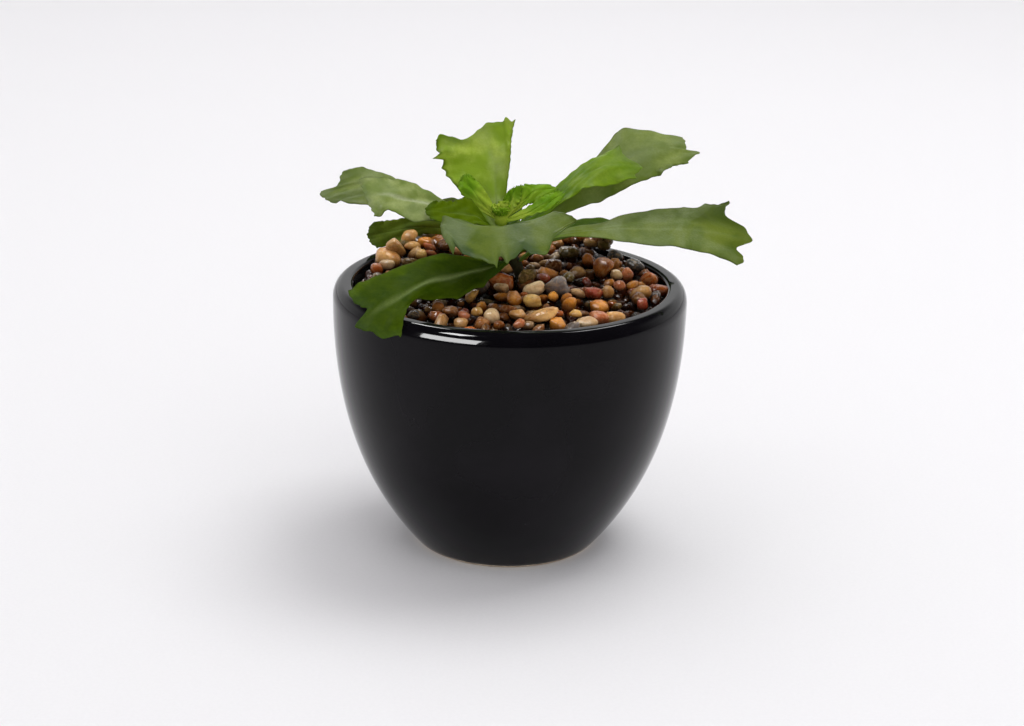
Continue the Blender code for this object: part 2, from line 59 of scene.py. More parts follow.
POT_RADIUS = 60 * MM
POT_HEIGHT = 92 * MM
FOOT_RADIUS = 31 * MM
SHOULDER_HEIGHT = 87 * MM
LIP_INSIDE = 1.5 * MM
LIP_OUTSIDE = 3.5 * MM
LIP_FALL = 5 * MM
WALL = 7 * MM
POT_FLOOR = 8 * MM
FLARE = 2.1
LOW_FLARE_SHARE = 0.28
SIDE_END = 0.8 * MM
FOOT_CORNER = ((0.1 * MM, 0.3 * MM), (0.5 * MM, 0))  # inward from the foot's radius, and height
POT_SEGMENTS = 192
INSIDE_STEPS = 24
LIP_STEPS = 16
SIDE_STEPS = 60
GLAZE_ENDS = (0.9 * MM, 0.6 * MM)

MEDIUM_TOP = 80 * MM
BED_RADIUS = 52.4 * MM
BED_EDGE_TOP = 90.6 * MM
BED_SLOPE = 0.055
BED_MOUND = 1.6 * MM
HEAPS = (
    # x, y, radius, height in millimetres
    (-27, 25, 18, 3.5),
    (29, 37, 16, 1.5),
)
BED_DEPTH = 3.5 * MM
BED_RINGS = 30
BED_SEGMENTS = 120
GRIT_SCALE = 260
GRIT_RELIEF = 0.5 * MM

STONE_TOPS = 3.6 * MM
LOW_STONE_TOPS = 0
STONE_SQUEEZE = 0.86
# How far below the pile's top the painted shade on the stones grows to full.
SUNK_DEPTH = 5 * MM
STONE_SEED = 23
STONE_TRIES = 14
STONE_MISSES = 30
LOW_STONES = (2, 2.5, 3)
TOP_STONES = (1, 1.3, 1.5, 1.8, 2, 2.2, 2.4, 2.6, 3)
# Shares of a stone's radius: from its middle to its top, to what it must clear, and each way.
STONE_RISE = 0.7
STONE_CLEARANCE = 0.8
STONE_LENGTH = (1, 1.5)
STONE_WIDTH = (0.85, 1)
STONE_HEIGHT = (0.62, 0.9)
SQUARENESS = (2, 2.9)
STONE_LEAN = 0.6
STONE_LIGHT = (0.85, 1.35)
STONE_WARMTH = 0.06
STONE_CHIPS = (0, 3, 5, 8)
NOTED_CHIPS = (0, 2, 4)
CHIP_REACH = (0.6, 0.82)
DENTS = 3
DENT_DEPTH = 0.08
DENT_WAVES = 1.9

STEM_FOOT = 66 * MM
STEM_TOP = 110.8 * MM
STEM_BEND = 92 * MM
STEM_RADIUS = 2.4 * MM
STEM_FOOT_RADIUS = 1.7 * MM
STEM_SWELLS = (94 * MM, 99 * MM)
STEM_START_X = 3.5 * MM
STEM_LEAN = 7 * MM
STEM_STEPS = 90
STEM_SIDES = 28
STEM_BULGE = 0.02
STEM_GREEN = (104 * MM, 115 * MM)
SCAR_SPACING = 3.4 * MM
SCAR_SWELL = 0.07
GAP = 0.3 * MM

RIB_THICKNESS = 1.3 * MM
BLADE_THICKNESS = 0.6 * MM
YOUNG_THICKNESS = (0.7 * MM, 0.35 * MM)
RIB_WIDTH = 0.35
RIB_TAPER = 0.65
EDGE_THINNING = 0.7
LEAF_CELLS = (110, 50)
FRONT_CELLS = (110, 90)
# Heights and depths of the blades' fine unevenness, in millimetres.
MARGIN_RIPPLE = 0.35
OUTLINE_RIPPLE = 0.1
END_RIPPLE = 0.2
FACE_RIPPLE = 0.22
RIB_GROOVE = 0.5
RIB_GROOVE_WIDTH = 0.1
VEINS = 13
VEIN_SLANT = 2.6

HEART_RADIUS = 2.4 * MM
HEART_CELLS = (60, 30)
HEART_FINE = 1.4
CURLS = 9
CURL_SEED = 5
CURL_CELLS = (22, 16)
CURL_FINE = 0.5
CURL_START = 3
CURL_HEIGHT = (3.2, 5.6)
CURL_ROWS = ((0.4, 0, 0.8), (1.8, 0.6, 1.5), (3.2, 1, 1.3))  # outward, share of height, half width
CURL_CUP = 0.4
CURL_YOUNG_AND_LIT = 0.3
BUD_STEPS = 12
BUD_SEGMENTS = 24
BUD_PLACE = {"across": 0.5, "along": 0.1, "under": 0}

IMAGE_WIDTH = 1024
FOCAL_PIXELS = 2200
CAMERA_ELEVATION = 0.3269
CAMERA_DISTANCE = 755.1 * MM
CAMERA_AIM = (1.17 * MM, 0, 62.82 * MM)
CAMERA_ROLL = 0.0211
SENSOR = 36
FLOOR_REACH = 8

RIM = (0, 0, 0.09)
MIDDLE = (0, 0, 0.06)
LAMPS = (
    # name, place, aim, size, watts, and whether it shows in gloss or else lights surfaces
    ("rim light", (-0.7, -0.9, 0.5), RIM, (0.8, 0.5), 72, True),
    ("glints", (-0.5, -0.4, 1.2), RIM, (0.3, 0.3), 22, True),
    ("strip left", (-0.24, 1, 1), RIM, (0.12, 0.3), 3, True),
    ("strip right", (0.3, 0.6, 0.95), RIM, (0.12, 0.3), 2, True),
    ("key", (0.6, 0.38, 1.9), MIDDLE, (1.1, 1.1), 14, False),
    ("back", (-0.3, 1.2, 2), (-0.3, 1, 0), (2, 2), 10.5, False),
    ("fill", (0.7, -1.4, 1.5), MIDDLE, (1.5, 1.5), 7, False),
)
ROOM_SEEN = 0.9
ROOM_LIGHT = 0.56
ROOM_BEHIND = 1.05
ROOM_IN_FRONT = 0.02
ROOM_OVERHEAD = 0.03
ROOM_COLOUR = (0.99, 0.99, 0.995)
ROOM_LIGHT_GREEN = 0.96

BLOOM = (148, 162, 112)
DRY_EDGE = (62, 76, 28)
GLAZE = ((10, 9, 12), (17, 15, 19))
CLAY = ((222, 208, 188), (190, 172, 150))
STONE_CLOUD = (190, 160, 128)
STONE_BAND = (224, 180, 124)
STONE_FLECK = (150, 134, 122)
STONE_PAINTED_SHADE = (88, 60, 36)
GRIT_AND_GAP_SHADE = ((16, 10, 6), (52, 34, 20))
CRUMBS = ((38, 27, 20), (82, 58, 40))
FIBRES = (134, 104, 72)
STEM_SHADE_TO_GREEN = ((38, 42, 8), (92, 118, 30))
BARK = (60, 34, 12)
PAPER = ((243, 243, 244), (241, 241, 242))


class Leaf:
    """A blade by its left margin, rib and right margin, seen from its base, in millimetres.

    Each row has a point of all three, and the rows go to the tip. foot is where a leaf leaves
    the stem: height, direction in degrees and width. tip says how far the end reaches past the
    last row across the blade, from -1 at the left corner to 1 at the right one. teeth are
    (edge, place, reach, half width) with edge L, R or T. ruffle is the margins' wave height,
    and waves their number.
    """

    def __init__(self, *rows, foot=None, tip=((-1, 0), (1, 0)), teeth=(), ruffle=(0.5, 0.5), waves=(2, 2)):
        self.rows = rows
        self.foot = foot
        self.tip = tip
        self.teeth = teeth
        self.ruffle = ruffle
        self.waves = waves


LEAVES = {
    "leaf_back_tall": Leaf(
        ((-13.5, 7.5, 116.5), (-5.5, 9.5, 118), (-2, 8, 121)),
        ((-22, 10, 126), (-6.5, 14, 128), (-1, 12, 131)),
        ((-24, 11, 132.5), (-8.5, 17, 135), (-0.5, 16, 137.5)),
        ((-26.5, 10, 139), (-11, 18, 140.5), (1, 18, 143.5)),
        foot=(108.5, 97, 3.2),
        tip=(
            (-1, -1), (-0.88, 0.5), (-0.7, -0.5), (-0.5, -2.5), (-0.4, -2.5), (-0.05, 0), (0.2, 1.5),
            (0.6, 1), (0.75, 2), (0.86, 0), (1, 0.5),
        ),
        teeth=(("L", 0.86, 1, 0.13), ("L", 0.755, 3.5, 0.05), ("L", 0.6, 1, 0.05), ("L", 0.5, 0.5, 0.03)),
        ruffle=(1.2, 0.5), waves=(3, 1.5),
    ),
    "leaf_right_high": Leaf(
        ((15, 13, 119.5), (14, 10.5, 116.5), (15, 7.5, 112.5)),
        ((29.5, 24, 131), (31, 18, 126), (32.5, 12, 119)),
        ((39, 30, 139), (46, 22, 132.5), (48, 14, 126)),
        ((58.5, 29, 136.5), (63, 22, 133), (55.5, 16, 128.5)),
        foot=(105.5, 30, 3),
        tip=(
            (-1, -0.5), (-0.5, -3), (-0.2, -4), (-0.08, 1), (0.2, 0), (0.55, -0.5), (0.7, 1), (0.78, -3.5),
            (1, -1.5),
        ),
        teeth=(("R", 0.86, 1, 0.06),),
        ruffle=(0.5, 0.8), waves=(2, 3),
    ),
    "leaf_right_inner": Leaf(
        ((8.5, 8.5, 117.5), (10, 6, 116), (12.5, 3.5, 115)),
        ((19, 11.5, 126.5), (20, 8, 124.5), (22, 4.5, 122.5)),
        ((28, 15, 132), (30.5, 10.5, 130), (31.5, 6, 124.5)),
        ((36, 17, 136), (43, 12.5, 130.5), (42, 9, 126.5)),
        foot=(108.5, 5, 2.6),
        tip=((-1, 0), (-0.6, -2.5), (-0.35, -2.5), (0.1, 0.5), (0.4, -0.5), (0.7, -2), (1, 0)),
        ruffle=(0.7, 0.7), waves=(2, 3),
    ),
    "leaf_right_long": Leaf(
        ((12.5, -2, 109), (13, -4, 109), (13.5, -6, 108.5)),
        ((28, 2, 112.5), (28.5, -4, 111.5), (29, -9, 110.5)),
        ((47.5, 4, 117), (47.5, -4, 112.5), (46, -12, 109)),
        ((64.5, 5, 118), (65, -4, 112.5), (62.5, -13, 108)),
        ((73.5, 4, 120.5), (80.5, -5, 109.5), (76, -14, 103)),
        foot=(100, -28, 3),
        tip=(
            (-1, -0.5), (-0.8, -4), (-0.58, -6.5), (-0.35, -1), (0, 0), (0.35, -5), (0.42, -5),
            (0.65, -1.5), (0.85, -0.5), (1, -1),
        ),
        teeth=(("L", 0.72, 1, 0.04), ("L", 0.82, 1, 0.04)),
        ruffle=(0.4, 0.4), waves=(4, 3),
    ),
    "leaf_front": Leaf(
        ((11, -13, 117), (-1, -15, 113), (-11, -14, 115)),
        ((14, -22, 122.5), (-3.5, -26, 118), (-21.5, -22, 119.5)),
        ((21, -29, 121), (-2.5, -36, 115), (-22.5, -31, 117.5)),
        ((20.5, -33, 119), (-1.5, -43, 111), (-18.5, -40, 112)),
        foot=(106, 266, 4),
        tip=(
            (-1, -3.5), (-0.72, -2.5), (-0.6, 2.5), (-0.4, 0), (-0.3, -3.5), (-0.12, -1), (0.08, -3.5),
            (0.24, 0), (0.45, -2.5), (0.75, -3), (0.9, -5), (1, -0.5),
        ),
        teeth=(("T", 0.15, 4, 0.05), ("T", -0.02, 3.5, 0.06)),
    ),
    "leaf_front_left": Leaf(
        ((-7, -15.5, 97), (-8.5, -12, 99.5), (-9.5, -8, 102)),
        ((-17, -30, 95.5), (-18.5, -23, 100), (-22, -14, 105)),
        ((-30.5, -38, 96), (-28, -32, 100), (-33.5, -22, 104)),
        ((-33, -47, 94.5), (-39, -44, 96.5), (-46, -34, 102)),
        ((-34, -52, 88.5), (-47, -50, 92.5), (-51.5, -40, 99.5)),
        foot=(99, 205, 3),
        tip=(
            (-1, 0.5), (-0.9, -0.5), (-0.75, 2.5), (-0.5, 1.5), (-0.2, 2), (0, 2.5), (0.25, -5), (0.4, -3),
            (0.7, -1), (1, 0.5),
        ),
        teeth=(("L", 0.25, 1.5, 0.05), ("L", 0.4, 1, 0.05)),
    ),
    "leaf_left_far": Leaf(
        ((-13, 3, 110), (-15, 5, 113.5), (-18, 6, 118.5)),
        ((-25, 4.5, 113.5), (-26, 8, 116), (-26.5, 12, 117)),
        ((-38, 6, 115), (-38.5, 11, 118.5), (-39, 17, 122.5)),
        ((-51.5, 8, 115.5), (-52, 13, 120.5), (-50, 20, 125.5)),
        ((-61, 10, 116), (-65.5, 14, 118), (-57.5, 21, 124)),
        foot=(105.5, 158, 3),
        tip=((-1, 0), (-0.5, -1), (0, 0), (0.06, 0), (0.2, -5), (0.5, -4), (0.8, -1.5), (1, 0)),
        teeth=(("L", 0.92, -1.5, 0.05),),
        ruffle=(0.6, 0.5), waves=(4, 2),
    ),
    "leaf_left_near": Leaf(
        ((-18, -6, 114), (-20, -3, 116.5), (-20.5, 0, 118.5)),
        ((-31, -12, 115.5), (-33.5, -6, 121), (-34, 0, 125.5)),
        ((-39.5, -13, 119), (-42.5, -7, 123), (-43.5, 0, 127.5)),
        ((-45, -13, 117), (-48.5, -8, 122.5), (-51, -1, 126.5)),
        foot=(108.3, 187, 2.6),
        ruffle=(0.6, 0.5), waves=(3, 2),
    ),
    "leaf_left_low": Leaf(
        ((-16.5, 16, 101.5), (-17.5, 19, 103), (-19, 23, 104.5)),
        ((-28.5, 37, 98), (-31, 39, 100), (-33, 41, 102.5)),
        ((-40, 38.5, 94), (-42.5, 40, 97.5), (-43.5, 41, 101.5)),
        ((-47.5, 36, 92.5), (-51, 38, 96.5), (-49, 40, 101)),
        foot=(102, 140, 3),
        ruffle=(0.4, 0.4), waves=(3, 3),
    ),
    "leaf_left_inner": Leaf(
        ((-10, -10, 114.5), (-11.5, -7, 116), (-13.5, -3, 121)),
        ((-18, -14, 115), (-19, -10, 118), (-19.5, -6.5, 121.5)),
        ((-25.5, -13.5, 116.5), (-28.5, -11, 119), (-26, -8.5, 121.5)),
        foot=(109.8, 228, 2.2),
        ruffle=(0.3, 0.3),
    ),
    "leaf_back_low": Leaf(
        ((-8, 16, 109), (-2, 16, 108.5), (3, 16, 109.5)),
        ((-9.5, 33, 111.5), (-3, 33, 111), (3.5, 33, 112)),
        ((-9, 48, 106.5), (-3, 51, 105.5), (3, 48, 107)),
        foot=(104, 93, 3),
        tip=((-1, 0), (-0.5, -1.5), (0, 0), (0.5, -2), (1, 0)),
    ),
    "leaf_right_back": Leaf(
        ((12, 17, 105), (15, 14, 104), (17, 10, 104.5)),
        ((27, 37, 104.5), (32, 31, 103), (37, 24, 103)),
        ((47, 45, 102.5), (54, 39, 101.5), (58, 31, 100.5)),
        foot=(102, 45, 3),
        tip=((-1, 0), (-0.5, -2), (0, 0), (0.5, -1.5), (1, 0)),
    ),
}

HEART_LEAVES = (
    Leaf(
        ((-4.6, -0.8, 113.2), (-5, 0, 113.7), (-4.4, 0.8, 114.2)),
        ((-12.5, 2.5, 117), (-10, 2.5, 118.5), (-7.5, 4, 120)),
        ((-18, 4, 122.5), (-14.5, 4.5, 124), (-11.5, 6, 125)),
        ((-17.5, 5.5, 126), (-16, 6, 127.5), (-14, 6.5, 127)),
    ),
    Leaf(
        ((-4.2, 0.8, 114.2), (-3.5, 1, 114), (-2.8, 0.8, 114)),
        ((-3, 4, 119.5), (-0.5, 5.5, 119.5), (2.5, 3.5, 118.5)),
        ((-1, 5, 122.5), (1, 6, 123.5), (3.5, 5, 124.5)),
    ),
    Leaf(
        ((-2.5, 1, 114.2), (-2.8, 0.8, 113.7), (-2.5, 0.3, 113.2)),
        ((0.5, 5.5, 120.5), (3.5, 5, 119), (3.5, 3.5, 117)),
        ((3.5, 8, 123.5), (8, 6.5, 122), (7, 4.5, 118.5)),
        ((9.5, 9, 124), (15, 7.5, 123), (13, 5.5, 120.5)),
    ),
    Leaf(
        ((-2.5, -0.5, 113.4), (-3, -1, 113), (-2.5, -1.5, 112.8)),
        ((4.5, 1.5, 117.5), (4.5, -1, 116), (4.5, -2.5, 115)),
        ((10, 2.5, 121), (11.5, 0.5, 119.5), (12, -1, 117.5)),
        ((14, 3.5, 123), (17.5, 2.5, 122.5), (16, 0.5, 120)),
    ),
)


class Look(NamedTuple):
    """A leaf's colours, and how far each goes. The crease bands are painted shade: length, darkest place,
    share.
    """

    slot: str
    blade: tuple
    shade: tuple
    young: tuple
    young_to: float
    margin: tuple
    margin_share: float
    rib: tuple
    under: tuple
    bloom_share: float
    glow: tuple
    glow_share: float
    rib_share: float = 0.3
    gloss: float = 0.15
    folds: tuple = ()
    fold_colour: tuple = (58, 82, 46)


BRIGHT = Look(
    slot="bright_leaf", blade=(198, 220, 88), shade=(150, 182, 46), young=(172, 194, 108), young_to=0.5,
    margin=(146, 180, 30), margin_share=0.7, rib=(176, 196, 120), under=(110, 146, 26), bloom_share=0.55,
    glow=(160, 205, 20), glow_share=0.22,
)
GREY = Look(
    slot="grey_leaf", blade=(106, 128, 40), shade=(80, 104, 24), young=(98, 134, 24), young_to=0.35,
    margin=(96, 118, 30), margin_share=0.45, rib=(158, 172, 112), under=(96, 120, 40), bloom_share=0.35,
    glow=(130, 170, 20), glow_share=0.15,
)
DARK = Look(
    slot="dark_leaf", blade=(64, 90, 10), shade=(46, 72, 6), young=(60, 88, 8), young_to=0.3,
    margin=(96, 122, 10), margin_share=0.6, rib=(128, 150, 84), under=(74, 96, 24), bloom_share=0.03,
    glow=(110, 150, 10), glow_share=0.12, gloss=0.02,
)
YOUNG = Look(
    slot="young_leaf", blade=(136, 180, 36), shade=(108, 158, 18), young=(190, 206, 70), young_to=0.75,
    margin=(164, 200, 60), margin_share=0.4, rib=(166, 200, 70), under=(140, 186, 36), bloom_share=0.03,
    glow=(170, 215, 20), glow_share=0.3, gloss=0.06,
)

# Each leaf's colours, set one by one: partly its own tone, partly painted light, some made lighter or darker
# for the light they get.
LEAF_LOOKS = {
    "leaf_back_tall": BRIGHT,
    "leaf_right_inner": BRIGHT._replace(
        blade=(132, 162, 40), shade=(98, 138, 18), young=(120, 158, 24), rib=(156, 180, 90), rib_share=0.5,
        bloom_share=0.25,
    ),
    "leaf_right_high": GREY._replace(blade=(138, 154, 72), shade=(108, 128, 48)),
    "leaf_right_long": GREY._replace(
        blade=(116, 132, 40), shade=(88, 108, 26), bloom_share=0.6, gloss=0.09, folds=(2.2, -0.75, 0.75),
        fold_colour=(56, 74, 20),
    ),
    "leaf_front": GREY._replace(
        blade=(102, 120, 32), shade=(80, 102, 20), rib_share=0.2, bloom_share=0.5, gloss=0.09,
        folds=(1.05, -0.3, 0.9),
    ),
    "leaf_left_far": GREY._replace(blade=(130, 146, 66), shade=(102, 122, 44), bloom_share=0.5),
    "leaf_left_near": GREY._replace(
        blade=(158, 172, 98), shade=(124, 144, 66), rib=(192, 200, 160), rib_share=0.85, bloom_share=0.5,
    ),
    "leaf_front_left": DARK._replace(
        blade=(60, 80, 6), shade=(46, 68, 4), rib=(146, 164, 100), rib_share=0.75,
    ),
    "leaf_left_low": DARK._replace(blade=(100, 118, 36), shade=(76, 94, 24)),
    "leaf_left_inner": DARK._replace(blade=(90, 114, 6), shade=(72, 96, 4)),
    "leaf_back_low": DARK,
    "leaf_right_back": DARK,
}

STONE_COLOURS = {
    "brown": (168, 102, 40), "dark_brown": (112, 68, 28), "amber": (216, 142, 50), "cream": (240, 208, 158),
    "tan": (220, 168, 100), "salmon": (200, 120, 76), "red": (156, 68, 42), "grey": (122, 112, 106),
    "dark_grey": (78, 72, 66), "olive": (104, 88, 44), "orange": (196, 104, 42), "yellow": (228, 180, 94),
}
STONE_MIX = ("brown",) * 7 + ("dark_brown",) * 3 + ("amber",) * 5 + ("cream",) * 2 + ("tan",) * 4
STONE_MIX += ("salmon", "orange", "red", "grey", "dark_grey", "olive", "olive", "orange", "yellow")

NOTED_STONES = (
    # x, y, half width, half height, lean in degrees, colour
    (-3, -5, 4.5, 3, 0, "orange"), (-2.5, -11.5, 2.5, 2, 0, "cream"), (7.5, -10, 4, 2.5, 25, "cream"),
    (15.5, -10, 4, 3.5, 20, "grey"), (27.5, -12, 3.5, 2, -5, "red"), (19.5, -22, 2.5, 3.5, -15, "amber"),
    (10, -36.5, 5.5, 2, 20, "tan"), (16, -39.5, 3, 3, 30, "amber"), (29, -33.5, 4, 2.5, -10, "salmon"),
    (25, -39, 3.5, 2, 0, "cream"), (43, 18, 3.5, 2, -15, "dark_grey"), (47, 6, 2.5, 3.5, -30, "orange"),
    (43.5, -9, 3.5, 2.5, 20, "tan"), (40, 8.5, 2, 3, -15, "salmon"), (32, 11, 3.5, 3.5, 0, "brown"),
    (33, 36, 2.5, 2, 0, "olive"), (36, 27, 3, 2.5, 0, "dark_grey"), (7.5, -22.5, 3, 2, 0, "yellow"),
    (2.5, -33.5, 3, 2, 0, "tan"), (21.5, -32.5, 2, 1.5, 0, "yellow"), (44, -20, 2, 2, 0, "red"),
    (3, -43, 2, 1.5, 0, "salmon"), (15.5, 14.5, 3, 2.5, 0, "dark_brown"), (27, 22, 2, 3, 0, "brown"),
    (20.5, 28.5, 3.5, 2, -10, "olive"), (-43, 21, 4.5, 3.5, -15, "tan"), (-43, 28, 3, 1.5, 0, "red"),
    (-33, 36, 2.5, 2.5, 0, "dark_grey"), (-38, 32, 2.5, 2, 0, "olive"), (-25, 38, 4, 2.5, 15, "brown"),
    (-34.5, 27, 2.5, 1.5, 0, "tan"), (-42.5, 12.5, 2.5, 1.5, 0, "cream"), (-46, 9, 2, 2, 0, "orange"),
    (-23.5, -29, 2, 2, 0, "brown"), (-19, -31.5, 2.5, 2, 0, "brown"), (-14.5, -36.5, 2, 2, 0, "salmon"),
    (-5.5, -35.5, 2.5, 2.5, 0, "cream"), (-15.5, -43, 2.5, 1.5, 0, "tan"), (-9, -40.5, 3, 2.5, 0, "brown"),
    (-10.5, -33, 2, 1.5, 0, "yellow"), (-32, 40, 3, 2.5, 0, "dark_grey"), (-26, 42.5, 3.5, 3, 10, "brown"),
    (-20, 45, 3, 2.5, 0, "tan"), (19, 46.5, 3, 2.5, 0, "brown"), (24, 44.5, 3, 2.5, 0, "dark_brown"),
    (29, 41.5, 3, 2.5, 0, "brown"), (34, 37.5, 2.5, 2.5, 0, "olive"), (-36, 36, 3, 3, 0, "tan"),
    (-30, 41, 3, 3, 0, "olive"), (-24, 43.5, 3, 3, 0, "brown"), (26, 43, 3, 3, 0, "brown"),
    (32, 39, 2.5, 3, 0, "dark_brown"), (5, -5, 3, 3, 0, "dark_brown"), (6, -4.5, 3, 3, 10, "olive"),
    (-40, 24, 3.5, 3, -20, "tan"), (-30, 31, 3, 2.5, 15, "amber"),
)


def mix(start, end, share):
    return start + (end - start) * share


def ease(share):
    share = np.clip(share, 0, 1)
    return share * share * (3 - 2 * share)


def unit(vectors):
    return vectors / np.maximum(np.linalg.norm(vectors, axis=-1, keepdims=True), TINY)


def tint(colour):
    """A linear colour from screen values."""
    parts = []
    for value in colour:
        value /= 255
        parts.append(value / 12.92 if value <= 0.04045 else ((value + 0.055) / 1.055) ** 2.4)
    return (*parts, 1)


class Nodes:
    """A tree of shader nodes, with short names for the ones used here."""

    def __init__(self, tree):
        self.tree = tree

    def join(self, value, socket):
        if isinstance(value, bpy.types.NodeSocket):
            self.tree.links.new(value, socket)
        else:
            socket.default_value = value

    def fill(self, node, **inputs):
        for key, value in inputs.items():
            self.join(value, node.inputs[key.replace("_", " ")])

    def node(self, kind, settings=(), **inputs):
        made = self.tree.nodes.new("ShaderNode" + kind)
        for key, value in dict(settings).items():
            setattr(made, key, value)
        self.fill(made, **inputs)
        return made

    def spread(self, value, low, high, to_low=0, to_high=1):
        """The value's range from low to high, eased onto another range."""
        ends = {"From_Min": low, "From_Max": high, "To_Min": to_low, "To_Max": to_high}
        return self.node("MapRange", {"interpolation_type": "SMOOTHSTEP"}, Value=value, **ends).outputs[0]

    def choose(self, share, first, second):
        """A number that goes from the first to the second as the share goes from 0 to 1."""
        made = self.node("Mix")
        for value, socket in ((share, 0), (first, 2), (second, 3)):
            self.join(value, made.inputs[socket])
        return made.outputs[0]


class Paint(Nodes):
    """A material under construction, with its colour and its relief so far."""

    def __init__(self, name):
        self.material = bpy.data.materials.new(name)
        self.material.use_nodes = True
        super().__init__(self.material.node_tree)
        self.shader = self.tree.nodes["Principled BSDF"]
        self.place = self.node("TexCoord").outputs["Object"]
        self.colour = self.relief = None

    def attribute(self, name, output="Fac"):
        return self.node("Attribute", {"attribute_name": name}).outputs[output]

    def noise(self, scale, detail=3, distortion=0):
        made = self.node("TexNoise", Vector=self.place, Scale=scale, Detail=detail, Distortion=distortion)
        return made.outputs["Fac"]

    def pits(self, scale):
        """Distance to the middle of the nearest of many scattered cells."""
        return self.node("TexVoronoi", Scale=scale, Vector=self.place).outputs["Distance"]

    def height(self):
        return self.node("SeparateXYZ", Vector=self.place).outputs["Z"]

    def compute(self, operation, first, second=0):
        made = self.node("Math", {"operation": operation})
        self.join(first, made.inputs[0])
        self.join(second, made.inputs[1])
        return made.outputs[0]

    def plus(self, first, second):
        return self.compute("ADD", first, second)

    def minus(self, first, second):
        return self.compute("SUBTRACT", first, second)

    def times(self, first, second):
        return self.compute("MULTIPLY", first, second)

    def mix(self, share, first, second, blend="MIX"):
        """Two colours mixed. Each is a socket or screen values."""
        made = self.node("Mix", {"data_type": "RGBA", "blend_type": blend})
        for value, socket in ((share, 0), (first, 6), (second, 7)):
            self.join(tint(value) if isinstance(value, tuple) else value, made.inputs[socket])
        return made.outputs[2]

    def over(self, share, colour):
        """Lays another colour over the one so far."""
        self.colour = self.mix(share, self.colour, colour)

    def bump(self, height, distance, strength=1):
        """Adds a relief to the one so far."""
        made = self.node("Bump", Height=height, Distance=distance, Strength=strength)
        if self.relief is not None:
            self.join(self.relief, made.inputs["Normal"])
        self.relief = made.outputs["Normal"]

    def finish(self, rough, **inputs):
        self.fill(self.shader, Base_Color=self.colour, Roughness=rough, Normal=self.relief, **inputs)
        return self.material


def leaf_colours(paint, look, across, along, grain, mottle):
    """Lays young foot, margin, painted crease shade, rib with its painted highlight, bloom and dry edge over
    the blade, and returns the veins' pattern.
    """
    aside = paint.compute("ABSOLUTE", across)
    blotch = paint.noise(130)
    wander = paint.times(paint.minus(blotch, 0.5), 0.9)
    paint.colour = paint.mix(paint.spread(blotch, 0.38, 0.64), look.blade, look.shade)
    paint.over(paint.spread(paint.plus(along, wander), look.young_to, 0.02), look.young)
    paint.over(paint.spread(paint.plus(aside, wander), 0.72, 1.05, 0, look.margin_share), look.margin)
    # painted shade: dark bands along the blade, where creases would be shaded
    if look.folds:
        length, darkest, share = look.folds
        turn = paint.times(paint.minus(across, darkest), math.tau / length)
        fold = paint.compute("COSINE", paint.plus(turn, paint.times(wander, 3)))
        fold = paint.times(paint.spread(fold, -0.1, 1, 0, share), paint.spread(along, 0.25, 0.6))
        paint.over(fold, look.fold_colour)
    # pale rib stripe: partly the rib's own paler tone, partly a painted highlight along it
    rib = paint.times(paint.spread(aside, 0.2, 0, 0, look.rib_share), paint.spread(along, 1, 0.5))
    paint.over(rib, look.rib)
    paint.over(paint.spread(paint.noise(60, 4, 0.6), 0.42, 0.7, 0, look.bloom_share), BLOOM)
    # darker towards the tip, in the same colour
    paint.over(paint.spread(along, 0.88, 1, 0, 0.35), look.fold_colour)
    paint.over(paint.spread(grain, 0.4, 0.62, 0.22, 0), look.shade)
    paint.over(paint.compute("ABSOLUTE", paint.spread(mottle, 0.35, 0.75, -0.12, 0.16)), look.margin)
    paint.over(paint.spread(aside, 0.94, 0.99, 0, 0.55), DRY_EDGE)
    paint.over(paint.times(paint.attribute("under"), 0.75), look.under)
    slant = paint.minus(paint.times(along, VEINS), paint.times(aside, VEIN_SLANT))
    veins = paint.compute("PINGPONG", paint.plus(slant, paint.times(wander, 1.6)), 0.5)
    veins = paint.spread(veins, 0, 0.16)
    paint.over(paint.times(paint.minus(1, veins), 0.05), look.margin)
    return veins


def leaf_paint(name, look):
    """Waxy leaf that lets some light through."""
    paint = Paint(name)
    mottle = paint.noise(420, 4)
    grain = paint.noise(1500)
    veins = leaf_colours(paint, look, paint.attribute("across"), paint.attribute("along"), grain, mottle)
    paint.bump(veins, 0.03 * MM, 0.5)
    paint.bump(paint.noise(140, 2), 0.5 * MM, 0.4)
    paint.bump(grain, 0.08 * MM, 0.8)
    paint.finish(paint.spread(mottle, 0.3, 0.75, 0.4, 0.56), IOR=1.42, Specular_IOR_Level=look.gloss)
    glow = paint.mix(0.6, paint.colour, look.glow)
    through = paint.node("BsdfTranslucent", Normal=paint.relief, Color=glow)
    both = paint.node("MixShader")
    for value, socket in ((look.glow_share, 0), (paint.shader.outputs[0], 1), (through.outputs[0], 2)):
        paint.join(value, both.inputs[socket])
    paint.fill(paint.tree.nodes["Material Output"], Surface=both.outputs[0])
    return paint.material


def glaze_paint():
    """Black glaze that pools unevenly, with rare pits, and bare cream clay at its foot."""
    paint = Paint("black glaze")
    edge = paint.plus(paint.height(), paint.times(paint.noise(160, 2), -0.7 * MM))
    bare = paint.spread(edge, *GLAZE_ENDS)
    clay = paint.mix(paint.spread(paint.noise(900, 4), 0.3, 0.7), *CLAY)
    paint.colour = paint.mix(paint.spread(paint.noise(34, 4, 0.4), 0.35, 0.7), *GLAZE)
    paint.over(bare, clay)
    rough = paint.spread(paint.noise(90, 5, 1.2), 0.35, 0.75, 0.05, 0.11)
    rough = paint.compute("MAXIMUM", rough, paint.times(bare, 0.85))
    paint.bump(paint.noise(55, 2), 0.3 * MM, 0.25)
    paint.bump(paint.spread(paint.pits(75), 0.012, 0.03), 0.1 * MM, 0.8)
    paint.bump(paint.noise(1500), 0.06 * MM, bare)
    return paint.finish(rough, IOR=1.5, Specular_IOR_Level=0.12)


